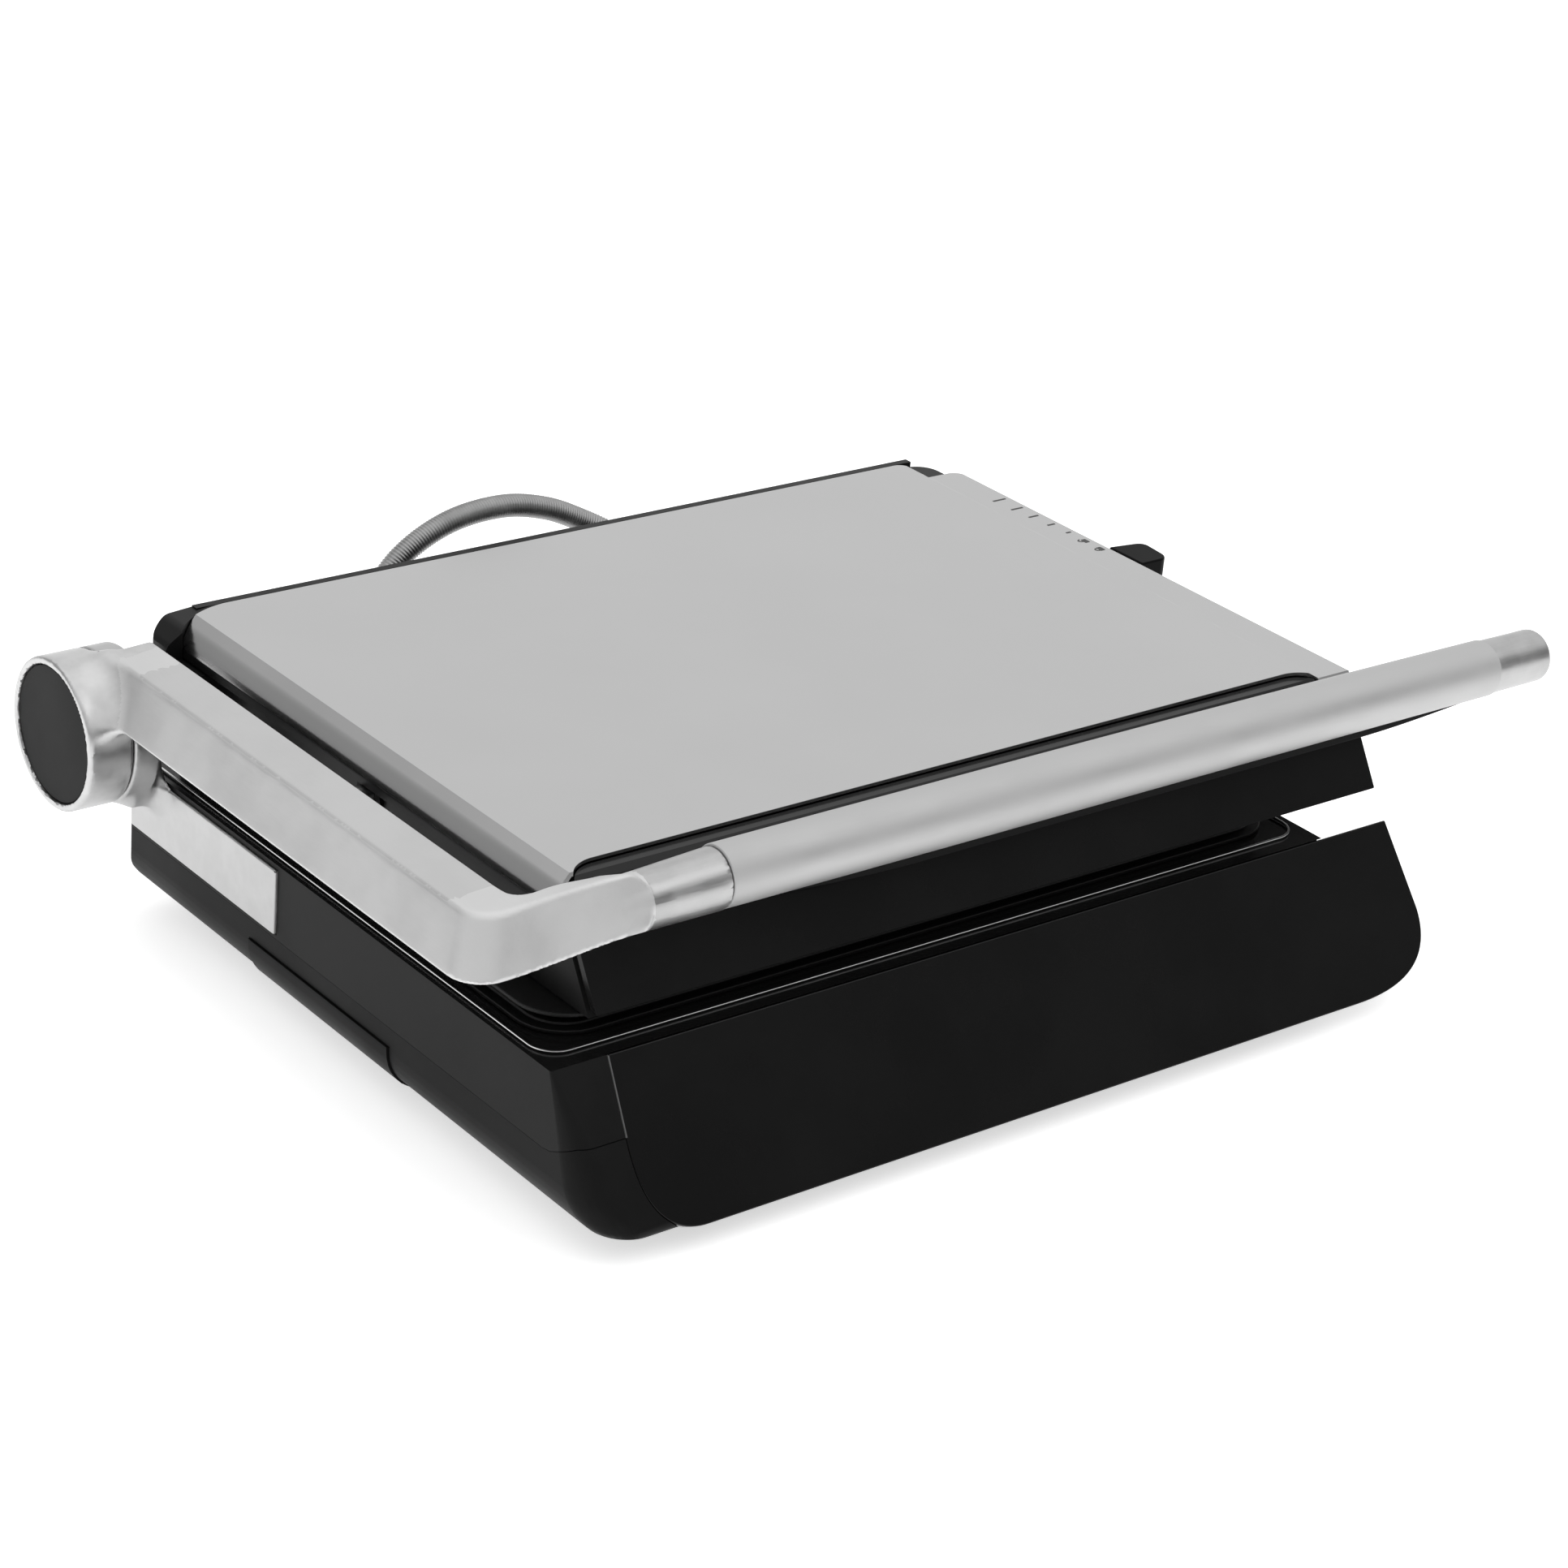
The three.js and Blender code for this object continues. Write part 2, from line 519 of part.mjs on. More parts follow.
function topCover() {
  const front = outline([
    [frontY(TOP), TOP + 5], [frontY(TOP), TOP], [frontY(80), 80], [300, 80], [300, TOP + 5],
  ]);
  const right = { x0: 200, x1: TOP_W, y0: -80, y1: TOP_D, r: LEDGE_CORNER };
  const ledge = { x0: 300, x1: TOP_W + LEDGE_W, y0: -80, y1: LEDGE_REAR, r: LEDGE_CORNER };
  const plan = alongZ(coverPlan(0), 60, 130, 8).add(slab(right, 59, 131, 5)).add(slab(ledge, 58, 132, 5));
  return alongY(coverSection(), -30, TOP_D + 1, 8)
    .intersect(alongX(front, -20, 400))
    .intersect(plan)
    .subtract(slab(NOTCH, 50, 140, 8));
}
node('top_cover', topCover(), STEEL);

// The lid's side view, a little behind the front panel.
function lidSide(inset, bottom, roof) {
  const front = (z) => frontY(z) + 4.4 + 1.2 * inset;
  return outline([[front(bottom), bottom], [front(roof), roof],
    [LID_REAR - inset, roof], [LID_REAR - inset, bottom + LID_HEEL],
    [LID_REAR - LID_HEEL - inset, bottom]]);
}

function lidHousing() {
  const roof = 105.4;
  const right = LID_RIGHT - 1;
  const hood = alongX(lidSide(0, LID_BOTTOM, roof), LID_LEFT - 5, right + 5)
    .intersect(slab({ x0: LID_LEFT, x1: right, y0: -60, y1: LID_REAR - 0.1, r: 9 }, 60, 120));
  const shoulderSection = outline([
    [4, TOP - 0.4], [-6, 108.3], [-12, 106.4], [-15.6, 103], [SHOULDER.x, 98],
    [SHOULDER.x, SHOULDER.z], [-14, SHOULDER.z - 4], [4, SHOULDER.z - 4],
  ]);
  const shoulder = alongY(shoulderSection, SHOULDER.y, LID_REAR + 5)
    .intersect(slab({ x0: SHOULDER.x, x1: 60, y0: 60, y1: LID_REAR, r: 9 }, 60, 120));
  const coverRoom = alongZ(coverPlan(GAP), 96, 130, 8)
    .add(box(200, 400, -60, TOP_D + GAP, 95, 131))
    .add(box(-60, 60, SHOULDER.y - 5, TOP_D - COVER_CORNER[1] - 1, 96.5, 132));
  const band = box(3, 331, TOP_D + GAP, LID_REAR, roof - 1, TOP);
  const cavity = alongX(lidSide(WALL, LID_BOTTOM + WALL, roof - WALL), LID_LEFT + WALL, right - WALL);
  return hood.add(shoulder.subtract(coverRoom)).add(band)
    .subtract(cavity)
    .subtract(slab(WELL, 60, LID_BOTTOM + 8))
    .subtract(box(right - WALL - 1, right + 1, SLOT.y0, SLOT.y1, SLOT.z - 4, SLOT.z + 4))
    .subtract(rodX(LID_LEFT - 2, LID_LEFT + WALL + 3, PIVOT_Y, PIVOT_Z, 7.3, 24))
    .subtract(rodY(LID_REAR - 6, LID_REAR + 2, CONDUIT_LID[0], CONDUIT_LID[1], GROMMET_R + 1.6));
}
node('lid_housing', lidHousing(), BLACK);

function lidFrontPanel() {
  const top = 107.4;
  const bottom = PANEL_BOTTOM;
  const section = outline([
    [frontY(bottom), bottom], [frontY(105.4), 105.4], [frontY(106) + 1.6, top],
    [-0.4, top], [-0.4, top - 1.4], [frontY(105) + 4.1, top - 1.4], [frontY(bottom) + 3.8, bottom],
  ]);
  const between = box(NOTCH.x0 + GAP, NOTCH.x1 - GAP, -60, 20, 60, 130)
    .intersect(slab(grown(NOTCH, -GAP), 60, 130, 8));
  return alongX(section, -4, 342).intersect(between.add(box(-30, 400, -60, 20, 60, 94.6)));
}
node('lid_front_panel', lidFrontPanel(), GLOSS);

function turnedOver(shape) {
  const middle = (LOWER_RIM_TOP + UPPER_RIM_BOTTOM) / 2;
  return shape.mirror([0, 0, 1]).translate([0, 0, 2 * middle]);
}
node('upper_plate', turnedOver(grillPlate()), IRON);
node('upper_heater', turnedOver(tube(heaterPath(46.6), 3.4, 3, 60)), ZINC);
node('upper_reflector', slab({ x0: 10, x1: 296, y0: -4, y1: 206, r: 8 }, 85.4, 96)
  .subtract(slab({ x0: 11, x1: 295, y0: -3, y1: 205, r: 7 }, 80, 95)), ZINC);
node('upper_thermostat', turnedOver(rodZ(46, 50.7, 150, 93, 7)), ZINC);

node('lid_pivot_bush', rodX(LID_LEFT - 1.5, LID_LEFT + WALL + 2, PIVOT_Y, PIVOT_Z, 7, 24)
  .subtract(rodX(-80, 20, PIVOT_Y, PIVOT_Z, PIVOT_R + GAP, 20)), BLACK);
node('lid_pivot_clip', rodX(1, 2.2, PIVOT_Y, PIVOT_Z, 6.4, 20)
  .subtract(rodX(-80, 20, PIVOT_Y, PIVOT_Z, PIVOT_R + GAP, 20)), ZINC);

// ---------------------------------------------------------------- height slider
function sliderKnob() {
  const { x0, x1, half, z0, z1, r } = KNOB;
  const shape = new THREE.Shape();
  shape.moveTo(x0, KNOB_Y - half);
  shape.lineTo(x1 - r - 1, KNOB_Y - half);
  shape.absarc(x1 - r, KNOB_Y - half + r, r, -Math.PI / 2, 0, false);
  shape.absarc(x1 - r, KNOB_Y + half - r, r, 0, Math.PI / 2, false);
  shape.lineTo(x0, KNOB_Y + half);
  const stem = box(LID_RIGHT - 9, x0 + 2, KNOB_Y - 8, KNOB_Y + 8, SLOT.z - 3, SLOT.z + 3);
  return alongZ(shape, z0, z1, 6).add(stem);
}
node('height_slider_knob', sliderKnob(), BLACK);

function sliderCarriage() {
  const points = [[KNOB_Y - 16, 102], [KNOB_Y - 16, 90]];
  for (let step = 0; step < 5; step += 1) {
    points.push([KNOB_Y - 8 + 7 * step, 90 - 2.4 * step], [KNOB_Y - 1 + 7 * step, 90 - 2.4 * step]);
  }
  points.push([KNOB_Y + 28, 102]);
  return alongX(outline(points), LID_RIGHT - 14, LID_RIGHT - 9.4);
}
node('height_slider_carriage', sliderCarriage(), ZINC);

// ---------------------------------------------------------------- flexible conduit
const CONDUIT_ROUTE = [
  [78, 227.4, 44], [78, 238, 44.6], [79.5, 247, 52], [83, 251.2, 66], [90, 252, 82], [104, 252, 100],
  [125, 252, 110.6], [149, 252, 113], [170, 252, 108.6], [187, 250, 101], [197, 243.6, 96], [200, 236, 95],
  [200, 228, 95],
];
node('flexible_conduit', tube(CONDUIT_ROUTE, CONDUIT_R, 3, 48), ZINC);

function ferrule(y0, y1, [x, z], r) {
  return rodY(y0, y1, x, z, r, 20)
    .add(rodY(y0 + WALL + 1.4, y1, x, z, r + 1.6, 6));
}
node('conduit_ferrule_base', ferrule(BODY_REAR - 4, BODY_REAR + 2, CONDUIT_BASE, CONDUIT_R + 0.9), ZINC);

const [GROMMET_X, GROMMET_Z] = CONDUIT_LID;
const grommet = rodY(LID_REAR - WALL - 1.6, LID_REAR + 1, GROMMET_X, GROMMET_Z, GROMMET_R + 1.3, 28)
  .add(rodY(LID_REAR + GAP, LID_REAR + 1, GROMMET_X, GROMMET_Z, GROMMET_R + 3, 28))
  .subtract(rodY(LID_REAR - 20, LID_REAR + 20, GROMMET_X, GROMMET_Z, GROMMET_R, 28));
node('conduit_grommet_lid', grommet, RUBBER);

// ---------------------------------------------------------------- drip tray
function dripTray() {
  const pan = box(-23, TRAY.end, 55, 139, TRAY.bottom, TRAY.top - 2);
  const hollow = box(-19, TRAY.end - 2, 57, 137, TRAY.bottom + 1.8, 40);
  const skin = bodyForm(-0.8).subtract(bodyForm(3.2))
    .intersect(box(-40, -9.5, TRAY.y0 + 0.4, TRAY.y1 - 0.4, 0, TRAY.top));
  return pan.intersect(bodyForm(0.4)).add(skin).subtract(hollow);
}
node('drip_tray', dripTray(), BLACK);

// ---------------------------------------------------------------- origin at the bottom centre
const bounds = new THREE.Box3().setFromObject(group);
const centre = bounds.getCenter(new THREE.Vector3());
group.position.set(-centre.x, -centre.y, -bounds.min.z);

export default group;
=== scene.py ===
"""Panini press with a one-armed handle: its looks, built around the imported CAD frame.

Lengths are in millimetres in the part's own axes: X and Y from the front left corner of the flat
steel top, Z from the table. place() turns such a point into the frame's metres.
"""

import math

import bmesh
import bpy
import numpy as np
from mathutils import Matrix, Vector


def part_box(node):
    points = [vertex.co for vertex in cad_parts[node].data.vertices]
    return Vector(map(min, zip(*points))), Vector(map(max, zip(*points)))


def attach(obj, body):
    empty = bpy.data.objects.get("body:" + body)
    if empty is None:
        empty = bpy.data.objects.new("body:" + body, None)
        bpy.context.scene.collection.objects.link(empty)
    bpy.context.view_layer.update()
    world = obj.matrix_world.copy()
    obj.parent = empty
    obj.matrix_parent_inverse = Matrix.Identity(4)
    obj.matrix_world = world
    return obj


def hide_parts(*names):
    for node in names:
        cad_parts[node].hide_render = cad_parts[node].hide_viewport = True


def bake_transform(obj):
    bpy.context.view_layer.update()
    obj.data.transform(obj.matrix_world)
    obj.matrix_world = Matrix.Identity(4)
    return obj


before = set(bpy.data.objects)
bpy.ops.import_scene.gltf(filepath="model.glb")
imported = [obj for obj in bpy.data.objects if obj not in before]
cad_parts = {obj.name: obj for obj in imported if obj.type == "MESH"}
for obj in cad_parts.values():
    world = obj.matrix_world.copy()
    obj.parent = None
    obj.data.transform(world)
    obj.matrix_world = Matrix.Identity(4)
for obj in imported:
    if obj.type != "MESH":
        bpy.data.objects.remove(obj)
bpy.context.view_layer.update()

# ---------------------------------------------------------------- driving dimensions
MM = 0.001
GAP = 0.3
WALL = 3.0
SHEET = 1.2
TOP = 109.0                     # height of the flat steel top
TOP_W, TOP_D = 327.0, 227.0     # flat top
FOLD_R = 9.0                    # radius of the cover's left fold
COVER_CORNER = (23.0, 10.5)     # the cover's rear left corner is cut off by this much in X and Y
# Z and radius of the base's front left corner, from just above the deck down to the table
FRONT_CORNER = [(61, 0.6), (24, 13.3), (16, 15), (9, 13), (0, 10)]
LEDGE_W, LEDGE_DROP, LEDGE_REAR = 17.4, 1.5, 213.5
STEP_W, STEP_IN = 2.6, 0.6      # sloping step from the flat top down to the scale ledge
NOTCH = (-1.5, 331.0, -60.0, 0.0, 14.0)     # x0, x1, y0, y1 and radius of the cover's front notch
LEAN = 0.62                     # front faces lean back, mm of Y per mm of Z
FRONT_AT_TOP = -5.3
SLOPE = math.hypot(1, LEAN)
DECK = 60.0                     # top face of the base
BODY_LEFT, BODY_RIGHT, BODY_REAR = -25.0, 311.0, 225.0
BODY_DRAFT = 4.0                # the right wall leans out by this much towards the bottom
BODY_BOTTOM, BODY_ROUND = 6.0, 18.0
FASCIA_BOTTOM, FASCIA_T = 9.0, 3.0
# Y and Z of the seam between the base's two shells
PARTING = [(-90, 37.4), (-48, 37.4), (-43, 35.2), (-38, 32.8), (-34, 32.1), (240, 32.1)]
LID_LEFT, LID_RIGHT, LID_REAR, LID_BOTTOM = -4.5, 342.0, 230.5, 68.4
PANEL_BOTTOM, LID_HEEL = 70.4, 3.4
SHOULDER_X, SHOULDER_Y = -17.0, 200.0    # left and front faces of the lid's rear shoulder
PLATE = (-17.0, 303.0, -22.0, 214.0, 18.0)
WELL = (1.0, 295.0, -14.0, 206.0, 10.0)
LOWER_RIM_TOP, UPPER_RIM_BOTTOM = 61.8, 66.4
AXIS_Y, AXIS_Z = 217.0, 77.8    # hinge axis
DRUM_R = 27.5
DRUM_OUTER, DRUM_SEAM, DRUM_INNER = -59.8, -42.7, -32.0
SHAFT_R = 5.0
BRACKET_PLATE = (124.0, 220.7, 34.0, 58.0)  # y0, y1, z0, z1 of the bracket's plate in the left wall
BAR_Y, BAR_Z, BAR_R = -23.2, 104.65, 10.9   # grip axis and radius
COLLAR_END, SLEEVE_END, BAR_END = 43.5, 397.0, 425.0
PIVOT_Y, PIVOT_Z = 100.0, 92.9
SLOT_W = 5.2                    # half width of the slot under the grip
TRAY_Y0, TRAY_Y1, TRAY_TOP = 53.0, 141.0, 25.0
SLOT_Y0, SLOT_Y1, SLOT_Z = 99.0, 207.0, 97.0
KNOB_Y = 114.7
CONDUIT_R = 4.5
CONDUIT_ROUTE = [
    (78, 227.4, 44), (78, 238, 44.6), (79.5, 247, 52), (83, 251.2, 66), (90, 252, 82), (104, 252, 100),
    (125, 252, 110.6), (149, 252, 113), (170, 252, 108.6), (187, 250, 101), (197, 243.6, 96), (200, 236, 95),
    (200, 228, 95),
]

steel_low, steel_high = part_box("top_cover")
ORIGIN = Vector((steel_low.x + FOLD_R * MM, steel_high.y - TOP_D * MM, 0))


def place(x, y, z):
    return Vector((ORIGIN.x + x * MM, ORIGIN.y + y * MM, z * MM))


def front_y(z):
    """Where the leaning front face is at a height."""
    return FRONT_AT_TOP + LEAN * (z - TOP)


def rear_fitting(corners):
    """The centre (X, Z) and the two ends (Y) of a fitting in a rear wall, from its box in the frame."""
    low, high = corners
    centre = ((low.x + high.x) / 2 - ORIGIN.x) / MM, (low.z + high.z) / 2 / MM
    return centre, (low.y - ORIGIN.y) / MM, (high.y - ORIGIN.y) / MM


# ---------------------------------------------------------------- node helpers
def ramp_between(tree, value, start, end, low=0.0, high=1.0):
    """value from start..end becomes low..high, smoothly and held at both ends."""
    ramp = tree.nodes.new("ShaderNodeMapRange")
    ramp.interpolation_type = "SMOOTHSTEP"
    tree.links.new(value, ramp.inputs["Value"])
    for socket, number in (("From Min", start), ("From Max", end), ("To Min", low), ("To Max", high)):
        ramp.inputs[socket].default_value = number
    return ramp.outputs["Result"]


def grain(tree, size, detail=3.0, stretch=(1, 1, 1), roughness=0.55):
    """Noise whose features are about size millimetres across, longer along the stretched axes."""
    coordinates = tree.nodes.new("ShaderNodeTexCoord")
    mapping = tree.nodes.new("ShaderNodeMapping")
    mapping.inputs["Scale"].default_value = [1 / (size * MM * factor) for factor in stretch]
    noise = tree.nodes.new("ShaderNodeTexNoise")
    noise.inputs["Scale"].default_value = 1.0
    noise.inputs["Detail"].default_value = detail
    noise.inputs["Roughness"].default_value = roughness
    tree.links.new(coordinates.outputs["Object"], mapping.inputs["Vector"])
    tree.links.new(mapping.outputs["Vector"], noise.inputs["Vector"])
    return noise.outputs["Fac"]


def tint(tree, factor, dark, light, start=0.3, end=0.7):
    """A grey or colour that runs from dark to light with the factor."""
    mix = tree.nodes.new("ShaderNodeMix")
    mix.data_type = "RGBA"
    tree.links.new(ramp_between(tree, factor, start, end), mix.inputs["Factor"])
    for socket, colour in ((mix.inputs[6], dark), (mix.inputs[7], light)):
        socket.default_value = (*(colour if isinstance(colour, tuple) else (colour,) * 3), 1)
    return mix.outputs[2]


def bump(tree, height, depth, before=None):
    """A bump of depth millimetres; before is the normal of a coarser bump under it."""
    node = tree.nodes.new("ShaderNodeBump")
    node.inputs["Strength"].default_value = 1.0
    node.inputs["Distance"].default_value = depth * MM
    tree.links.new(height, node.inputs["Height"])
    if before is not None:
        tree.links.new(before, node.inputs["Normal"])
    return node.outputs["Normal"]


def add(tree, first, second, weight):
    """first plus weight times second."""
    node = tree.nodes.new("ShaderNodeMath")
    node.operation = "MULTIPLY_ADD"
    tree.links.new(second, node.inputs[0])
    node.inputs[1].default_value = weight
    tree.links.new(first, node.inputs[2])
    return node.outputs[0]


def product(tree, first, second):
    node = tree.nodes.new("ShaderNodeMath")
    node.operation = "MULTIPLY"
    tree.links.new(first, node.inputs[0])
    tree.links.new(second, node.inputs[1])
    return node.outputs[0]


def new_material(name, metallic=0.0, specular=0.5, coat=0.0, coat_roughness=0.1, anisotropic=0.0):
    material = bpy.data.materials.new(name)
    material.use_nodes = True
    shader = material.node_tree.nodes["Principled BSDF"]
    shader.inputs["Metallic"].default_value = metallic
    shader.inputs["Specular IOR Level"].default_value = specular
    shader.inputs["Coat Weight"].default_value = coat
    shader.inputs["Coat Roughness"].default_value = coat_roughness
    shader.inputs["Anisotropic"].default_value = anisotropic
    return material, material.node_tree, shader


def wire(tree, shader, colour, roughness, normal):
    tree.links.new(colour, shader.inputs["Base Color"])
    tree.links.new(roughness, shader.inputs["Roughness"])
    tree.links.new(normal, shader.inputs["Normal"])


# ---------------------------------------------------------------- materials
def brushed_metal(name, dark, light, rough, lines, spread=0.06, line_size=0.35, depth=0.004, blotch=30):
    """Brushed or satin metal: fine lines along the stretched axes over faint, wide patches."""
    material, tree, shader = new_material(name, metallic=1.0)
    fine = grain(tree, line_size, 4.0, lines)
    patch = grain(tree, blotch, 3.0)
    colour = tint(tree, add(tree, patch, fine, 0.35), dark, light, 0.45, 0.9)
    finish = ramp_between(tree, add(tree, patch, fine, 0.5), 0.5, 1.0, rough - spread, rough + spread)
    wire(tree, shader, colour, finish, bump(tree, fine, depth))
    return material


def moulded(name, dark, light, rough, texture, depth, spread=0.07, coat=0.0, specular=0.5, patch_size=45):
    """Moulded plastic or rubber: a fine skin texture and faint handling marks."""
    material, tree, shader = new_material(name, coat=coat, specular=specular)
    skin = grain(tree, texture, 5.0, roughness=0.65)
    patch = grain(tree, patch_size, 4.0)
    colour = tint(tree, patch, dark, light)
    finish = ramp_between(tree, add(tree, patch, skin, 0.3), 0.35, 0.95, rough - spread, rough + spread)
    wire(tree, shader, colour, finish, bump(tree, skin, depth))
    return material


def coated_iron():
    """Non-stick coating: dark, faintly speckled, with a soft sheen."""
    material, tree, shader = new_material("nonstick_coating", metallic=0.0, specular=0.25)
    speck = grain(tree, 0.6, 4.0, roughness=0.7)
    patch = grain(tree, 25, 3.0)
    colour = tint(tree, speck, 0.006, 0.020, 0.5, 0.72)
    finish = ramp_between(tree, add(tree, patch, speck, 0.4), 0.4, 1.0, 0.3, 0.48)
    wire(tree, shader, colour, finish, bump(tree, speck, 0.02))
    return material


def oxidised_steel():
    material, tree, shader = new_material("oxidised_steel", metallic=1.0)
    patch = grain(tree, 12, 4.0, (3, 1, 1))
    fine = grain(tree, 0.4, 4.0)
    colour = tint(tree, patch, (0.12, 0.10, 0.09), (0.34, 0.31, 0.28))
    finish = ramp_between(tree, add(tree, patch, fine, 0.5), 0.4, 1.1, 0.35, 0.6)
    wire(tree, shader, colour, finish, bump(tree, fine, 0.01))
    return material


def circuit_board():
    material, tree, shader = new_material("circuit_board", coat=0.4)
    tracks = grain(tree, 2.5, 1.0, (6, 1, 1))
    weave = grain(tree, 0.5, 3.0)
    colour = tint(tree, tracks, (0.012, 0.07, 0.03), (0.03, 0.16, 0.07), 0.48, 0.52)
    finish = ramp_between(tree, weave, 0.3, 0.8, 0.3, 0.5)
    wire(tree, shader, colour, finish, bump(tree, tracks, 0.03))
    return material


BRUSHED_STEEL = brushed_metal("brushed_steel", 0.535, 0.55, 0.24, (220, 1, 1), spread=0.025, line_size=0.3,
                              depth=0.003, blotch=70)
SATIN_CAST = brushed_metal("satin_cast_aluminium", 0.68, 0.74, 0.55, (1, 14, 1), line_size=0.5, depth=0.004)
# painted shade: a darker copy of the satin cast aluminium for the arm's top faces
SATIN_CAST_SHADED_TOP = brushed_metal("satin_cast_painted_shade_top", 0.59, 0.65, 0.55, (1, 14, 1), line_size=0.5, depth=0.004)
POLISHED_CAST = brushed_metal("polished_aluminium", 0.54, 0.66, 0.38, (1, 1, 1),
                              line_size=5, depth=0.015, blotch=14)
BRACKET_METAL = brushed_metal("bracket_aluminium", 0.48, 0.56, 0.42, (1, 1, 1),
                              line_size=5, depth=0.01, blotch=16)
SATIN_GRIP = brushed_metal("satin_grip_aluminium", 0.565, 0.60, 0.62, (30, 1, 1), line_size=0.4, depth=0.004)
COLLAR_METAL = brushed_metal("brushed_collar", 0.44, 0.52, 0.36, (40, 1, 1),
                             line_size=0.5, depth=0.006, blotch=12)
BRIGHT_TRIM = brushed_metal("bright_trim", 0.62, 0.72, 0.16, (1, 1, 1), line_size=2, depth=0.002)
ZINC_SHEET = brushed_metal("zinc_plated_steel", 0.36, 0.52, 0.36, (1, 1, 1),
                           line_size=3, depth=0.01, blotch=8)
CONDUIT_METAL = brushed_metal("conduit_steel", 0.32, 0.42, 0.45, (1, 1, 1),
                              line_size=0.6, depth=0.01, blotch=9)
HOUSING = moulded("textured_black_plastic", 0.008, 0.011, 0.40, 0.35, 0.006, specular=0.09)
DECK_GLOSS = moulded("smooth_black_deck", 0.006, 0.008, 0.14, 0.8, 0.001, spread=0.03, specular=0.2)
LOWER_SHELL = moulded("lower_shell_plastic", 0.007, 0.010, 0.48, 0.35, 0.008, specular=0.09)
LID_PLASTIC = moulded("lid_black_plastic", 0.008, 0.011, 0.36, 0.35, 0.005, specular=0.12)
GLOSS_PANEL = moulded("gloss_black_panel", 0.0055, 0.0072, 0.16, 1.5, 0.0008, spread=0.03, specular=0.2)
SATIN_PLASTIC = moulded("satin_black_plastic", 0.003, 0.005, 0.42, 0.3, 0.006, specular=0.05)
TRAY_PLASTIC = moulded("tray_black_plastic", 0.006, 0.008, 0.42, 0.3, 0.006, specular=0.06)
CAP_PLASTIC = moulded("hinge_cap_plastic", 0.008, 0.011, 0.5, 0.25, 0.005, specular=0.1)
# painted shade: a near-black for the arm's inner faces, so the steel fold beside them reflects dark
ARM_INNER_PAINTED_SHADE = moulded("painted_shade_arm_inner", 0.004, 0.006, 0.5, 0.3, 0.005, specular=0.08)
# painted highlight: a lighter grey for the fascia's left edge, standing in for the light caught along the
# plate's thickness
PAINTED_EDGE_HIGHLIGHT = moulded("painted_highlight_panel_edge", 0.10, 0.14, 0.35, 0.4, 0.002, specular=0.4)
RUBBER = moulded("black_rubber", 0.005, 0.008, 0.75, 0.5, 0.02, specular=0.1)
PRINTED_MARK = moulded("printed_mark", 0.05, 0.07, 0.6, 0.3, 0.002)
IRON = coated_iron()
OXIDISED = oxidised_steel()
BOARD = circuit_board()


# ---------------------------------------------------------------- mesh helpers
def link(name, mesh):
    thing = bpy.data.objects.new(name, mesh)
    bpy.context.scene.collection.objects.link(thing)
    return thing


def from_faces(name, points, faces):
    """An object from millimetre points and their faces."""
    mesh = bpy.data.meshes.new(name)
    mesh.from_pydata([place(*p) for p in points], [], [tuple(f) for f in faces])
    mesh.validate()
    bm = bmesh.new()
    bm.from_mesh(mesh)
    bmesh.ops.recalc_face_normals(bm, faces=bm.faces)
    bm.to_mesh(mesh)
    bm.free()
    return link(name, mesh)


def along_x(u, v, w):
    return w, u, v


def along_y(u, v, w):
    return u, w, v


def along_z(u, v, w):
    return u, v, w


def on_front(u, v, w):
    """u along X, v up the fascia plane from its top edge, w outwards from it."""
    return u, front_y(DECK) + (LEAN * v - w) / SLOPE, DECK + (v + LEAN * w) / SLOPE


def prism(name, outline, direction, low, high):
    """A closed outline, extruded from low to high along a direction."""
    count = len(outline)
    points = [direction(u, v, w) for w in (low, high) for u, v in outline]
    faces = [list(range(count)), list(range(2 * count - 1, count - 1, -1))]
    for i in range(count):
        j = (i + 1) % count
        faces.append([j, i, count + i, count + j])
    return from_faces(name, points, faces)


def loft(name, rings, closed=True, capped=True):
    """Rings of the same number of points, joined one to the next."""
    count = len(rings[0])
    points = [p for ring in rings for p in ring]
    faces = []
    for r in range(len(rings) - 1):
        for i in range(count if closed else count - 1):
            j = (i + 1) % count
            faces.append([r * count + i, r * count + j, (r + 1) * count + j, (r + 1) * count + i])
    if capped:
        faces.append(list(range(count - 1, -1, -1)))
        faces.append([(len(rings) - 1) * count + i for i in range(count)])
    return from_faces(name, points, faces)


def turned(name, profile, direction, centre, sides=96):
    """A profile of (distance along the axis, radius), turned about an axis through the centre."""
    rings = []
    for w, radius in profile:
        angles = [2 * math.pi * i / sides for i in range(sides)]
        rings.append([direction(centre[0] + radius * math.cos(a), centre[1] + radius * math.sin(a), w)
                      for a in angles])
    return loft(name, rings)


def tube_of(name, profile, direction, centre, sides=96):
    """A turned ring: the profile is a closed loop that never reaches the axis."""
    count = len(profile)
    points, faces = [], []
    for i in range(sides):
        a = 2 * math.pi * i / sides
        for w, radius in profile:
            points.append(direction(centre[0] + radius * math.cos(a), centre[1] + radius * math.sin(a), w))
    for i in range(sides):
        for j in range(count):
            k = (j + 1) % count
            m = (i + 1) % sides
            faces.append([i * count + j, i * count + k, m * count + k, m * count + j])
    return from_faces(name, points, faces)


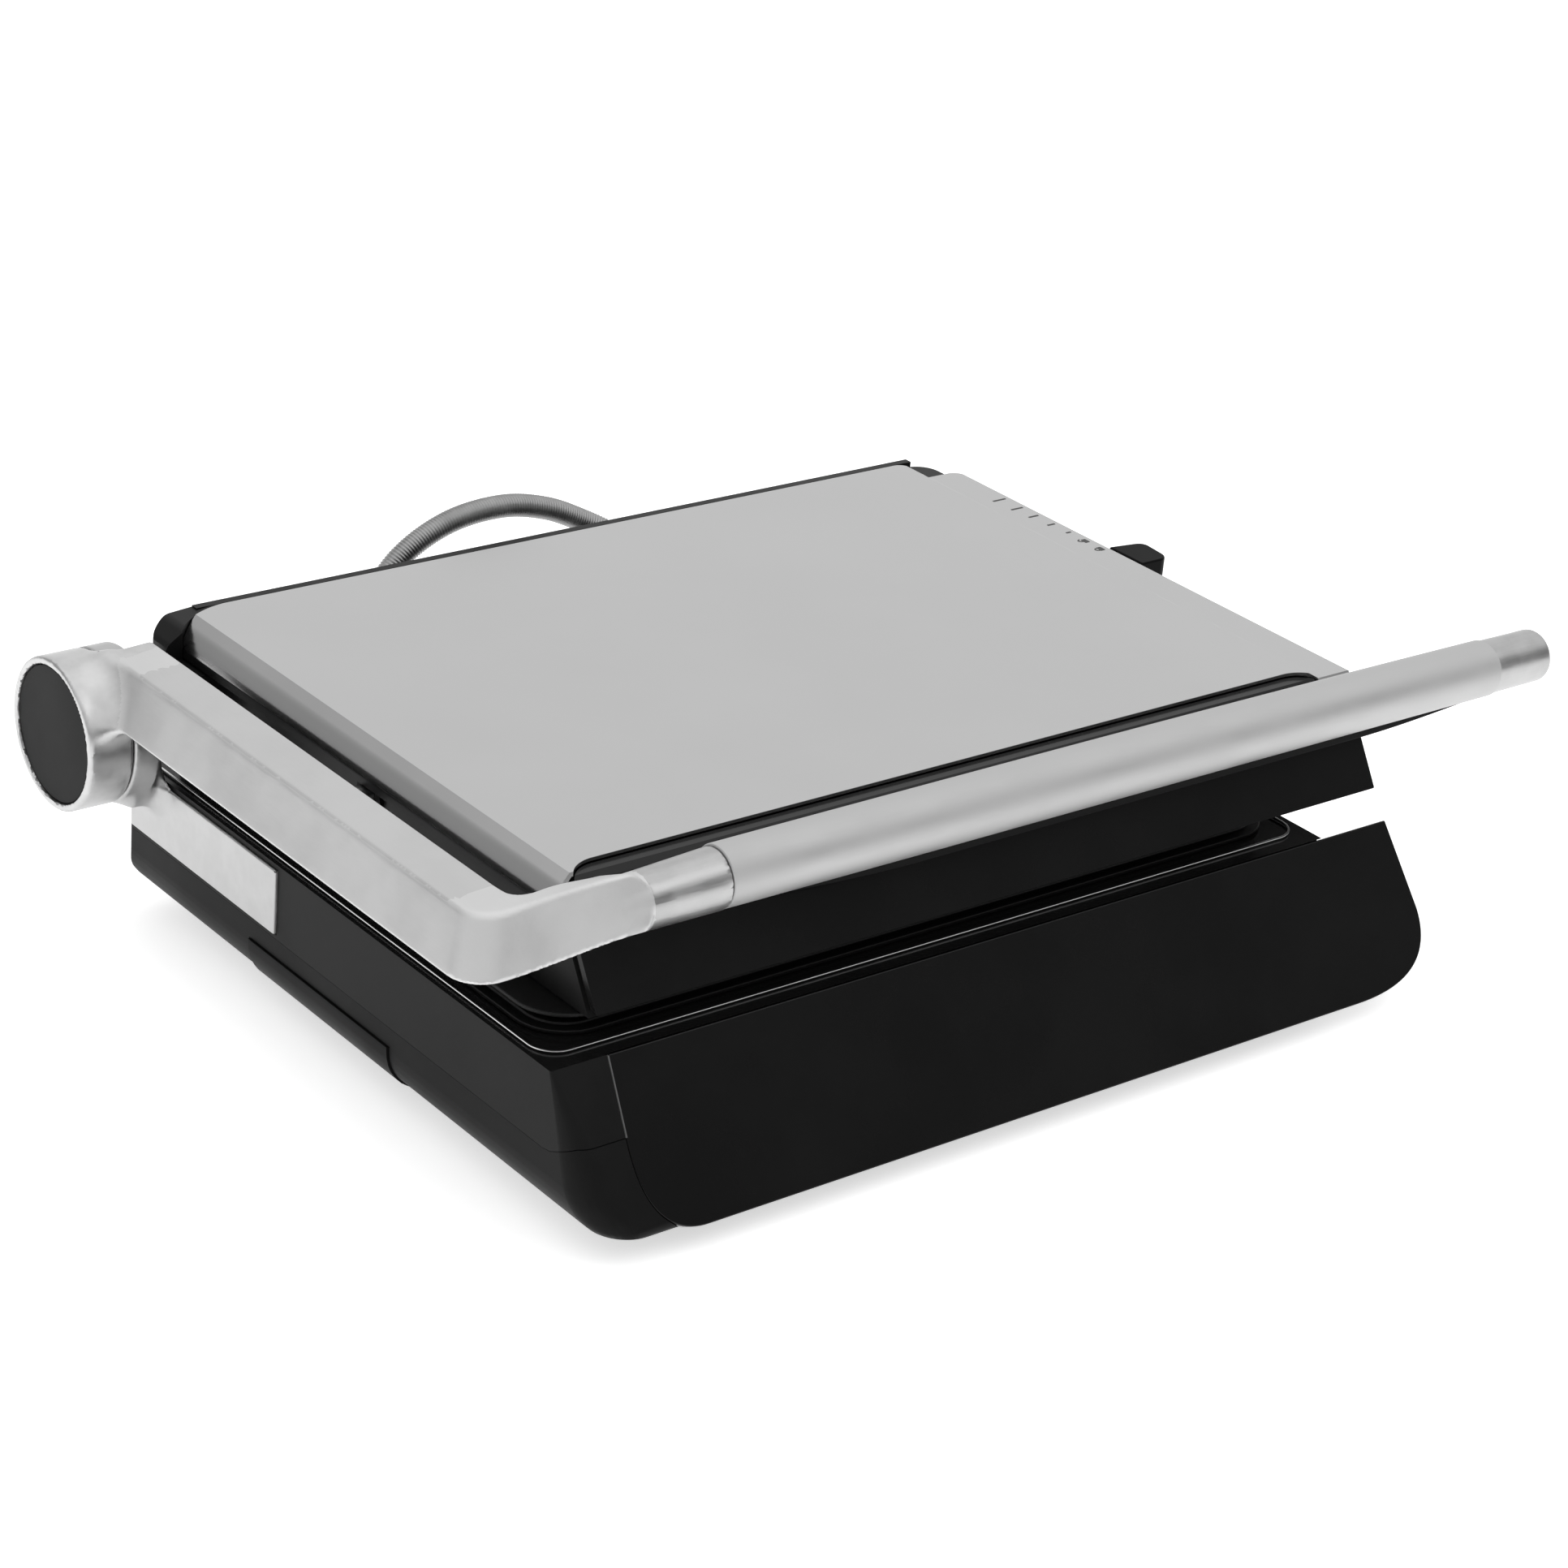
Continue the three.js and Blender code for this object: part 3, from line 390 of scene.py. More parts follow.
def rounded(points, radius=1.0, steps=6):
    """The outline with arcs for corners. A point may carry its own radius as a third number."""
    result = []
    count = len(points)
    for i, point in enumerate(points):
        r = point[2] if len(point) > 2 else radius
        corner = Vector(point[:2])
        before = Vector(points[i - 1][:2]) - corner
        after = Vector(points[(i + 1) % count][:2]) - corner
        if r <= 0:
            result.append(tuple(corner))
            continue
        half = before.angle(after) / 2
        reach = min(r / math.tan(half), 0.49 * before.length, 0.49 * after.length)
        r = reach * math.tan(half)
        inward = (before.normalized() + after.normalized()).normalized()
        centre = corner + inward * (r / math.sin(half))
        start = corner + before.normalized() * reach - centre
        end = corner + after.normalized() * reach - centre
        sweep = start.angle_signed(end)
        for step in range(steps + 1):
            turn = -sweep * step / steps
            c, s = math.cos(turn), math.sin(turn)
            result.append((centre.x + c * start.x - s * start.y, centre.y + s * start.x + c * start.y))
    return result


def bend(start, pull, end, t):
    """The point at t along a curve from start to end that leans towards pull."""
    return tuple((1 - t) ** 2 * s + 2 * t * (1 - t) * p + t * t * e for s, p, e in zip(start, pull, end))


def rectangle(x0, x1, y0, y1, r=0.0, steps=10):
    return rounded([(x0, y0), (x1, y0), (x1, y1), (x0, y1)], r, steps)


def grown(rect, by):
    x0, x1, y0, y1, r = rect
    return x0 - by, x1 + by, y0 - by, y1 + by, max(r + by, 0.5)


def hull(name, points):
    """The smallest convex form around the points."""
    form = bmesh.new()
    for point in points:
        form.verts.new(place(*point))
    found = bmesh.ops.convex_hull(form, input=form.verts)
    left_over = found["geom_interior"] + found["geom_unused"]
    unused = {item for item in left_over if isinstance(item, bmesh.types.BMVert)}
    bmesh.ops.delete(form, geom=list(unused), context="VERTS")
    bmesh.ops.recalc_face_normals(form, faces=form.faces)
    mesh = bpy.data.meshes.new(name)
    form.to_mesh(mesh)
    form.free()
    return link(name, mesh)


def slab(name, rect, z0, z1, steps=12):
    return prism(name, rectangle(*rect, steps), along_z, z0, z1)


def block(x0, x1, y0, y1, z0, z1):
    return prism("block", rectangle(x0, x1, y0, y1), along_z, z0, z1)


def rod(direction, centre, radius, low, high, sides=48):
    return turned("rod", [(low, radius), (high, radius)], direction, centre, sides)


def bake(thing):
    """Applies every modifier."""
    graph = bpy.context.evaluated_depsgraph_get()
    mesh = bpy.data.meshes.new_from_object(thing.evaluated_get(graph))
    thing.modifiers.clear()
    thing.data = mesh
    return thing


def combine(thing, operation, *tools):
    for tool in tools:
        boolean = thing.modifiers.new("boolean", "BOOLEAN")
        boolean.operation, boolean.solver, boolean.object = operation, "EXACT", tool
    bake(thing)
    for tool in tools:
        bpy.data.objects.remove(tool)
    return thing


def cut(thing, *tools):
    return combine(thing, "DIFFERENCE", *tools)


def join(thing, *tools):
    return combine(thing, "UNION", *tools)


def keep(thing, *tools):
    return combine(thing, "INTERSECT", *tools)


def soften(thing, width, segments=3, angle=32):
    """Rounds every edge that is sharper than the angle."""
    bevel = thing.modifiers.new("bevel", "BEVEL")
    bevel.width, bevel.segments = width * MM, segments
    bevel.limit_method, bevel.angle_limit = "ANGLE", math.radians(angle)
    bevel.use_clamp_overlap = True
    return bake(thing)


def finish_piece(thing, name, material, body, nodes=(), crisp=38):
    """Names a piece, shades it, and puts it on its CAD body in place of its CAD nodes."""
    thing.name = name
    thing.data.name = name
    materials = material if isinstance(material, (list, tuple)) else [material]
    thing.data.materials.clear()
    for each in materials:
        thing.data.materials.append(each)
    thing.data.shade_smooth()
    thing.data.set_sharp_from_angle(angle=math.radians(crisp))
    weighted = thing.modifiers.new("normals", "WEIGHTED_NORMAL")
    weighted.keep_sharp = True
    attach(thing, body)
    if nodes:
        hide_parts(*nodes)
    return thing


# ---------------------------------------------------------------- rounded solids from distances
# A shape is a function of x, y and z in millimetres that is negative inside, and about a distance.
def meet(a, b, r):
    """The common part of two shapes, with an edge of radius r."""
    return np.minimum(-r, np.maximum(a, b)) + np.hypot(np.maximum(a + r, 0), np.maximum(b + r, 0))


def merge(a, b, r):
    """Both shapes, with a fillet of radius r between them."""
    return np.maximum(r, np.minimum(a, b)) - np.hypot(np.maximum(r - a, 0), np.maximum(r - b, 0))


def between(value, low, high, r):
    return meet(low - value, value - high, r)


def smoothstep(value, start, end):
    t = np.clip((value - start) / (end - start), 0, 1)
    return t * t * (3 - 2 * t)


def surface(name, shape, low, high, step, keep_share):
    """The skin of a shape: one point in each grid cell that it crosses, moved onto the skin."""
    axes = [np.arange(low[i] - 2 * step, high[i] + 2 * step, step) for i in range(3)]
    inside = shape(*np.meshgrid(*axes, indexing="ij", sparse=True)) < 0
    cells = np.zeros([n - 1 for n in inside.shape], int)
    for dx in (0, 1):
        for dy in (0, 1):
            for dz in (0, 1):
                sx, sy, sz = (slice(d, n - 1 + d) for d, n in zip((dx, dy, dz), inside.shape))
                cells += inside[sx, sy, sz]
    mixed = (cells > 0) & (cells < 8)
    index = np.full(mixed.shape, -1)
    index[mixed] = np.arange(mixed.sum())
    where = np.argwhere(mixed)
    points = np.stack([axes[i][where[:, i]] + step / 2 for i in range(3)], -1)
    reach = 0.05
    for _ in range(5):
        here = shape(*points.T)
        slope = np.stack([
            (shape(*(points + offset).T) - shape(*(points - offset).T)) / (2 * reach)
            for offset in np.eye(3) * reach], -1)
        length = np.maximum((slope ** 2).sum(-1), 0.2)
        shift = slope * (here / length)[:, None]
        points = points - np.clip(shift, -step, step)
    quads = []
    for a in range(3):
        b, c = (a + 1) % 3, (a + 2) % 3
        near, far = [slice(None)] * 3, [slice(None)] * 3
        near[a], far[a] = slice(0, -1), slice(1, None)
        lower, upper = inside[tuple(near)], inside[tuple(far)]
        at = np.argwhere(lower != upper)
        outward = lower[tuple(at.T)]
        step_b, step_c = np.eye(3, dtype=int)[b], np.eye(3, dtype=int)[c]
        ring = [index[tuple((at - move).T)] for move in (0 * step_b, step_b, step_b + step_c, step_c)]
        quad = np.stack(ring, -1)
        quad[~outward] = quad[~outward][:, ::-1]
        quads.append(quad)
    mesh = bpy.data.meshes.new(name)
    base = np.array(ORIGIN)
    mesh.from_pydata((points * MM + base).tolist(), [], np.concatenate(quads).tolist())
    mesh.validate()
    thing = link(name, mesh)
    thin = thing.modifiers.new("thin", "DECIMATE")
    thin.ratio = keep_share
    return bake(thing)


# ---------------------------------------------------------------- handle
FACET_TILT = math.radians(27)       # the arm's outer face leans in at this angle all the way round
ARM_INNER, ARM_OUTER = -23.8, -50.0
ARM_BOTTOM, ARM_TOP = 89.4, 107.3
ARM_BACK = -12.3                    # rear face of the arm's front stretch
ARM_FRONT = -25.2                   # front lower edge at the corner
RISE = (10.2, 10.2)                 # how far the front stretch comes forward and up to meet the grip
COLLAR_START = 12.5


def box_distance(value, low, high):
    return np.maximum(low - value, value - high)


def handle_shape(x, y, z):
    cos, sin = math.cos(FACET_TILT), math.sin(FACET_TILT)
    rise = smoothstep(x, -36, 4) * (1 - smoothstep(y, -10, 6))
    y_lower, z_lower = ARM_FRONT - RISE[0] * rise, ARM_BOTTOM + 0.9 + RISE[1] * rise
    side = -cos * (x - ARM_OUTER) + sin * (z - ARM_BOTTOM - 0.9)
    front = -cos * (y - y_lower) + sin * (z - z_lower)
    faces = meet(side, front, 11)
    turn = FACET_TILT * rise
    crease_y, crease_z = -16.3 - 9.4 * rise, ARM_TOP + 9.2 * rise
    slope = 0.055 * (1 - rise) * (x + 41)
    top = np.sin(turn) * (y - crease_y) + np.cos(turn) * (z - crease_z) - slope
    foot = z_lower - 0.9 - z
    inner = merge(x - ARM_INNER, y - ARM_BACK, 7)
    bar = meet(meet(faces, top, 1.6), foot, 1.2)
    bar = meet(bar, inner, 1.6)
    bar = meet(bar, y - AXIS_Y + 4, 3)
    room = np.maximum(-6.3 - x, (front_y(z) - 2.3 - y) / SLOPE)
    bar = np.maximum(bar, -room)
    across = sin * (y - BAR_Y) + cos * (z - BAR_Z)
    tip = np.where(x > 2.5, np.hypot(np.maximum(x - 2.5, 0), across + 0.9) - 11.2, -9.0)
    bar = meet(bar, tip, 1.0)
    lean = (x - COLLAR_START) / (COLLAR_END - COLLAR_START)
    radius = 9.7 + 0.75 * np.clip(lean, -0.3, 1.1)
    round_part = np.hypot(y - BAR_Y, z - (BAR_Z - 1.1 + 0.85 * np.clip(lean, -0.3, 1.1))) - radius
    collar = meet(round_part, box_distance(x, 2, COLLAR_END), 0.5)
    front_part = merge(bar, collar, 0.8)
    off_axis = np.hypot(y - AXIS_Y, z - AXIS_Z)
    drum = meet(off_axis - DRUM_R, box_distance(x, DRUM_OUTER, DRUM_SEAM), 1.3)
    whole = merge(front_part, drum, 9)
    fixed_room = np.maximum(off_axis - DRUM_R - 1.0, DRUM_SEAM - x)
    whole = meet(whole, -fixed_room, 0.6)
    whole = np.maximum(whole, x - COLLAR_END)
    whole = np.maximum(whole, DRUM_OUTER - x)
    recess = np.maximum(off_axis - 24.9, x - DRUM_OUTER - 5.5)
    whole = meet(whole, -recess, 0.7)
    pin = np.maximum(np.hypot(y - PIVOT_Y, z - PIVOT_Z) - 3.9, -41 - x)
    shaft = np.maximum(off_axis - 8.3, x - DRUM_SEAM - 1)
    return np.maximum(np.maximum(whole, -pin), -shaft)


def paint_faces(thing, choose):
    """Gives each face the material slot that choose(x, y, z) returns for its middle."""
    for face in thing.data.polygons:
        middle = (face.center - ORIGIN) / MM
        face.material_index = choose(middle.x, middle.y, middle.z)


def arm_finish(x, y, z):
    if x > COLLAR_START + 1:
        return 1
    # the arm's inner faces get the painted shade black
    if x > ARM_INNER - 0.6 and y > 0 and z < ARM_TOP - 0.5:
        return 3
    # the top faces of the arm's side stretch get the darker, painted-shade copy
    if z > ARM_TOP - 0.5 and 0 < y < 190:
        return 4
    return 2 if math.hypot(y - AXIS_Y, z - AXIS_Z) < DRUM_R + 5 else 0


def build_handle():
    low, high = (DRUM_OUTER, -38, AXIS_Z - DRUM_R), (46, 246, 118)
    arm = surface("handle_arm_cast", handle_shape, low, high, 0.9, 0.5)
    finishes = [SATIN_CAST, COLLAR_METAL, POLISHED_CAST, ARM_INNER_PAINTED_SHADE, SATIN_CAST_SHADED_TOP]
    finish_piece(arm, "handle_arm_cast", finishes, "handle", ["handle_arm"], crisp=50)
    paint_faces(arm, arm_finish)
    profile = [(2.6, 24.5), (1.5, 24.5), (1.1, 24.3), (0.9, 23.8), (0.8, 12), (0.8, 0.4)]
    profile = [(DRUM_OUTER + depth, radius) for depth, radius in profile]
    cap = turned("hinge_cap_disc", profile, along_x, (AXIS_Y, AXIS_Z))
    finish_piece(cap, "hinge_cap_disc", CAP_PLASTIC, "handle", ["hinge_cap"])
    build_grip()


def bow(x):
    """How far the grip's middle line lies from its axis, and its radius there."""
    t = (x - 190) / 235
    return 0.25 - 0.9 * max(t, 0) ** 2, BAR_R - 0.55 * t * t


def grip_ring(x, inset, sides=96):
    radius = bow(x)[1] - inset
    angles = [2 * math.pi * i / sides for i in range(sides)]
    return [(x, BAR_Y - radius * math.cos(a), BAR_Z + bow(x)[0] + radius * math.sin(a)) for a in angles]


def build_grip():
    start, end = COLLAR_END + GAP, BAR_END
    rings = [grip_ring(start + step, inset) for step, inset in ((0, 0.5), (0.25, 0.15), (0.7, 0))]
    rings += [grip_ring(start + 0.7 + (SLEEVE_END - start - 1.2) * i / 30, 0) for i in range(1, 31)]
    sleeve_edge = (-0.2, 0.12), (0, 0.35), (0.1, 0.5), (4, 0.5)
    rings += [grip_ring(SLEEVE_END + step, inset) for step, inset in sleeve_edge]
    end_edge = (2, 0.55), (1.2, 0.7), (0.6, 1), (0.2, 1.5), (0, 2.2)
    rings += [grip_ring(end - back, inset) for back, inset in end_edge]
    slot = block(COLLAR_END + 24, SLEEVE_END - 8, BAR_Y - SLOT_W, BAR_Y + SLOT_W, BAR_Z - 20, BAR_Z - 7.6)
    bar = cut(loft("grip", rings), slot)
    finishes = [SATIN_GRIP, COLLAR_METAL]
    finish_piece(bar, "grip_tube", finishes, "handle", ["grip_bar"], crisp=30)
    paint_faces(bar, lambda x, y, z: 1 if x > SLEEVE_END else 0)
    left, right = COLLAR_END + 24.4, SLEEVE_END - 8.4
    half, taper = SLOT_W - GAP, 60
    rings = []
    for i in range(61):
        x = left + (right - left) * i / 60
        near = min(x - left, right - x, taper) / taper
        drop = 9.8 + 2.9 * math.sin(near * math.pi / 2)
        rings.append([(x, BAR_Y + v, BAR_Z - w) for v, w in rounded(
            [(-half, 8.1, 0.3), (half, 8.1, 0.3), (half, drop, 1.0), (-half, drop, 1.0)], 1, 4)])
    insert = loft("insert", rings)
    finish_piece(insert, "grip_underlay", RUBBER, "handle", ["grip_insert"])


# ---------------------------------------------------------------- hinge bracket
def bracket_shape(x, y, z):
    off_axis = np.hypot(y - AXIS_Y, z - AXIS_Z)
    drum = meet(off_axis - DRUM_R, box_distance(x, DRUM_SEAM + GAP, DRUM_INNER), 0.9)
    web = np.maximum(meet(meet(box_distance(x, DRUM_SEAM + 4.5, BODY_LEFT), box_distance(y, 200, 219.8), 2.5),
                          box_distance(z, 51, AXIS_Z), 2.5), x - BODY_LEFT - 1)
    y0, y1, z0, z1 = BRACKET_PLATE
    plate_edge = meet(box_distance(y, y0, y1), box_distance(z, z0, z1), 0.6)
    plate = meet(box_distance(x, BODY_LEFT - 1, BODY_LEFT + WALL), plate_edge, 0.5)
    foot = merge(web, plate, 9)
    whole = merge(drum, foot, 5)
    whole = np.maximum(whole, box_distance(x, DRUM_SEAM + GAP, BODY_LEFT + WALL))
    whole = np.maximum(whole, box_distance(y, y0, AXIS_Y + DRUM_R))
    whole = np.maximum(whole, z0 - z)
    outside = np.maximum(BODY_LEFT - 0.35 - x, plate_edge)
    whole = np.maximum(whole, np.minimum(outside, x - BODY_LEFT + 0.35))
    return np.maximum(whole, SHAFT_R + GAP - off_axis)


def build_bracket():
    bracket = surface("bracket", bracket_shape, (DRUM_SEAM, 122, 33), (BODY_LEFT + WALL, 246, 107), 0.8, 0.5)
    finish_piece(bracket, "hinge_bracket_cast", BRACKET_METAL, "base",
                 ["hinge_bracket"], crisp=50)


# ---------------------------------------------------------------- lid
def cover_section():
    ledge = TOP - LEDGE_DROP
    skirt = TOP - FOLD_R - 3
    outer = rounded([(0, TOP, 0), (-4.6, TOP - 2.9, 14), (-7.8, TOP - 6, 7), (-FOLD_R, TOP - 8.8, 4),
                     (-FOLD_R, skirt, 0)], 0, 6)
    inner = rounded([(-FOLD_R + SHEET, skirt, 0), (-FOLD_R + SHEET, TOP - 9, 3), (-6.8, TOP - 7, 6),
                     (-4.0, TOP - 4.2, 12), (0.4, TOP - SHEET, 0)], 0, 6)
    step = rounded([(TOP_W - 4, TOP, 0), (TOP_W - STEP_IN, TOP, 0.6), (TOP_W - STEP_IN + STEP_W, ledge, 0.5),
                    (TOP_W + LEDGE_W, ledge, 0.3), (TOP_W + LEDGE_W, ledge - SHEET, 0.2),
                    (TOP_W - 2 * STEP_IN + STEP_W, ledge - SHEET, 0.3),
                    (TOP_W - 2 * STEP_IN, TOP - SHEET, 0.2), (TOP_W - 4, TOP - SHEET, 0)], 0, 4)
    return [*outer, *inner, *reversed(step)]


def cover_plan(by):
    """The left part of the cover seen from above, with its slanting rear corner."""
    dx, dy = COVER_CORNER
    left, rear = -FOLD_R - by, TOP_D + by
    corner = [bend((left, rear - dy), (left + dx / 2, rear - 1), (left + dx, rear), t)
              for t in np.linspace(0, 1, 25)]
    return [(250, -80), (250, rear), *reversed(corner), (left, -80)]


def build_cover():
    sheet = prism("cover", cover_section(), along_y, -30, TOP_D + 1)
    front = [(front_y(TOP), TOP + 5), (front_y(TOP), TOP), (front_y(80), 80), (300, 80), (300, TOP + 5)]
    sheet = keep(sheet, prism("front", front, along_x, -20, 400))
    plan = join(prism("left", cover_plan(0), along_z, 60, 130),
                slab("right", (200, TOP_W, -80, TOP_D, 5), 59, 131, 12),
                slab("ledge", (300, TOP_W + LEDGE_W, -80, LEDGE_REAR, 5), 58, 132, 12))
    sheet = cut(keep(sheet, plan), slab("notch", NOTCH, 50, 140, 24))
    soften(sheet, 0.22, 2, 40)
    finishes = [BRUSHED_STEEL, LID_PLASTIC]
    finish_piece(sheet, "steel_cover", finishes, "lid", ["top_cover"], crisp=22)
    # painted shade: the steel skirt below the fold takes the lid's black plastic, so the fold ends in a dark
    # band
    paint_faces(sheet, lambda x, y, z: 1 if x < -FOLD_R + 0.2 and z < TOP - 8.8 else 0)


def lid_side(inset, bottom, roof):
    front = [front_y(z) + 4.4 + 1.2 * inset for z in (bottom, roof)]
    rear = LID_REAR - inset
    heel = (rear, bottom + LID_HEEL), (rear - LID_HEEL, bottom)
    return [(front[0], bottom), (front[1], roof), (rear, roof), *heel]


def build_lid_housing():
    roof, right = 105.4, LID_RIGHT - 1
    rear = LID_REAR - 0.1
    plan = rounded([(LID_LEFT, -60, 0), (right, -60, 0), (right, rear, 9), (LID_LEFT, rear, 9)], 9, 12)
    hood = keep(prism("hood", lid_side(0, LID_BOTTOM, roof), along_x, LID_LEFT - 5, right + 5),
                prism("plan", plan, along_z, 60, 120))
    bulge = rounded([(30, TOP, 0), (10, TOP, 8), (-8, TOP - 1.4, 8), (-15.2, TOP - 6.2, 5),
                     (SHOULDER_X, 98, 3), (SHOULDER_X, 84, 3), (-13, 79.5, 3), (30, 79.5, 0)], 3, 6)
    shoulder = prism("shoulder", bulge, along_y, SHOULDER_Y - 4, LID_REAR + 5)
    shoulder_plan = rounded([(SHOULDER_X - 0.1, SHOULDER_Y, 6), (60, SHOULDER_Y, 0), (60, LID_REAR, 0),
                             (SHOULDER_X - 0.1, LID_REAR, 11)], 9, 12)
    shoulder = keep(shoulder, prism("shoulder_plan", shoulder_plan, along_z, 60, 120))
    shoulder = cut(shoulder, prism("cover_room", cover_plan(GAP), along_z, 95.8, 130),
                   block(-60, 60, SHOULDER_Y - 9, TOP_D - COVER_CORNER[1] - 1, 96.5, 132))
    band = block(3, 331, TOP_D + GAP, LID_REAR - 0.02, roof - 1, TOP)
    housing = join(hood, shoulder, band)
    inside = lid_side(WALL, LID_BOTTOM + WALL, roof - WALL)
    cavity = prism("cavity", inside, along_x, LID_LEFT + WALL, right - WALL)
    slider_slot = block(right - WALL - 1, right + 1, SLOT_Y0, SLOT_Y1, SLOT_Z - 4, SLOT_Z + 4)
    grommet = rear_fitting(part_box("conduit_grommet_lid"))[0]
    housing = cut(housing, cavity, slab("well", WELL, 60, LID_BOTTOM + 8), slider_slot,
                  rod(along_x, (PIVOT_Y, PIVOT_Z), 7.3, LID_LEFT - 2, LID_LEFT + WALL + 3),
                  rod(along_y, grommet, 9.6, LID_REAR - 6, LID_REAR + 2))
    soften(housing, 0.7, 3, 35)
    finish_piece(housing, "lid_shell", LID_PLASTIC, "lid", ["lid_housing"], crisp=35)


def build_lid_panel():
    top = 107.4
    x0, x1, _, _, r = NOTCH
    low_z, high_z = PANEL_BOTTOM, 94.6
    section = [(front_y(low_z), low_z), (front_y(105.0), 105.0), (front_y(106) + 1.9, top), (-0.4, top),
               (-0.4, top - 1.4), (front_y(105) + 4.1, top - 1.4), (front_y(low_z) + 3.8, low_z)]
    front = rounded([(-3.6, low_z, 0.6), (LID_RIGHT, low_z, 0.6), (LID_RIGHT, high_z, 0.8),
                     (x1 - GAP, high_z, 2), (x1 - GAP, top + 2, 0), (x0 + GAP, top + 2, 0),
                     (x0 + GAP, high_z, 2), (-3.6, high_z, 0.8)], 1, 8)
    panel = keep(prism("panel", section, along_x, -4, LID_RIGHT), prism("front", front, along_y, -60, 20))
    notch = (x0 + GAP, x1 - GAP, -60, -GAP, r)
    corner_tool = slab("corner", notch, high_z - 0.5, 130, 24)
    below = block(-30, 400, -60, 20, 60, high_z - 0.4)
    panel = keep(panel, join(corner_tool, below))
    soften(panel, 0.9, 3, 30)
    finish_piece(panel, "lid_fascia", GLOSS_PANEL, "lid", ["lid_front_panel"], crisp=35)


def mark(points, name):
    """A printed mark on the ledge, one twentieth of a millimetre thick."""
    level = TOP - LEDGE_DROP
    thing = prism(name, points, along_z, level + 0.01, level + 0.06)
    return finish_piece(thing, name, PRINTED_MARK, "lid")


SCALE_LINES = [(335.6, 181.6), (336.2, 171.3), (337.2, 162.0), (338.3, 152.2), (339.7, 142.8)]
SCALE_RIGHT = 342.1


def build_scale():
    """Five lines of falling length, then an open and a closed padlock."""
    for i, (left, y) in enumerate(SCALE_LINES):
        mark(rectangle(left, SCALE_RIGHT, y - 0.5, y + 0.5, 0.2, 3), f"scale_line_{i + 1}")
    for i, name in enumerate(("padlock_open", "padlock_closed")):
        x, y = 340.4, 133.4 - 8.9 * i
        mark(rectangle(x - 0.6, x + 1.7, y - 1.9, y + 1.3, 0.35, 3), f"{name}_body")
        outer, inner = 1.35, 0.85
        sweep = np.linspace(-0.5 * math.pi, 0.5 * math.pi, 9)
        shift = 0.9 * (1 - i)
        arc = [(x - 0.6 - outer * math.cos(a) * 1.3, y - 0.3 + shift + outer * math.sin(a)) for a in sweep]
        arc += [(x - 0.6 - inner * math.cos(a) * 1.2, y - 0.3 + shift + inner * math.sin(a))
                for a in reversed(sweep)]
        mark(arc, f"{name}_shackle")


def build_knob():
    x0, x1, half = 345.2, 361.0, 9.5
    outline = rounded([(x0, KNOB_Y - half, 0.8), (x1 - 1.5, KNOB_Y - half, 5), (x1, KNOB_Y + half - 2.5, 4),
                       (x0, KNOB_Y + half, 0.8)], 1, 10)
    knob = prism("knob", outline, along_z, 92, 107.6)
    soften(knob, 1.1, 4, 40)
    stem = block(LID_RIGHT - 9, x0 + 2, KNOB_Y - 8, KNOB_Y + 8, SLOT_Z - 3, SLOT_Z + 3)
    grooves = [block(x1 - 0.9, x1 + 4, y, y + 0.8, 80, 104.5)
               for y in (KNOB_Y - 5.5 + 2.5 * i for i in range(4))]
    knob = join(cut(knob, *grooves), stem)
    finish_piece(knob, "height_knob", SATIN_PLASTIC, "height_slider",
                 ["height_slider_knob"], crisp=40)


# ---------------------------------------------------------------- grill plates
RIB_COUNT, RIB_PITCH = 22, 12


def build_plate(name, node, body, flip):
    """A ribbed cast plate; flip is twice the height of the mirror plane for the upper one."""
    def level(z):
        return flip - z if flip else z

    def ring(low, high):
        return sorted((level(low), level(high)))

    rim = slab("rim", PLATE, *ring(DECK + GAP, LOWER_RIM_TOP), 14)
    ledge = slab("ledge", grown(PLATE, -4), *ring(LOWER_RIM_TOP - 0.6, LOWER_RIM_TOP + 0.9), 14)
    opening = slab("opening", grown(WELL, -3), *ring(DECK - 1, LOWER_RIM_TOP + 5), 14)
    body_block = slab("body", grown(WELL, -0.6), *ring(51, LOWER_RIM_TOP - 0.4), 14)
    pan = slab("pan", grown(WELL, -3), *ring(54, 70), 14)
    plate = cut(join(join(rim, ledge), body_block), opening, pan)
    soften(plate, 0.5, 3, 40)
    foot, valley, crest = 52.4, 54.2, 59.2
    field = [(16, foot, 0), (17, valley, 1)]
    for i in range(RIB_COUNT):
        x = 20 + RIB_PITCH * i
        field += [(x - 1.0, valley, 0.8), (x + 1.4, crest, 0.9)]
        field += [(x + 5.0, crest, 0.9), (x + 7.4, valley, 0.8)]
    field += [(285, valley, 1), (286, foot, 0)]
    outline = rounded(field, 1, 4)
    if flip:
        outline = [(u, flip - v) for u, v in outline]
    ribs = prism("ribs", outline, along_y, -5, 197)
    soften(ribs, 1.2, 3, 60)
    plate = join(plate, ribs)
    if not flip:
        spout = (14, 97)
        plate = cut(join(plate, rod(along_z, spout, 8, 46, 53)), rod(along_z, spout, 5.5, 40, 58))
    finish_piece(plate, name, IRON, body, [node], crisp=40)


# ---------------------------------------------------------------- base
FRONT_INSET = (FASCIA_T + 1 + WALL) * SLOPE
UNDERSIDE = (-4.7, 291.7, -53.7, 207.7, 3)


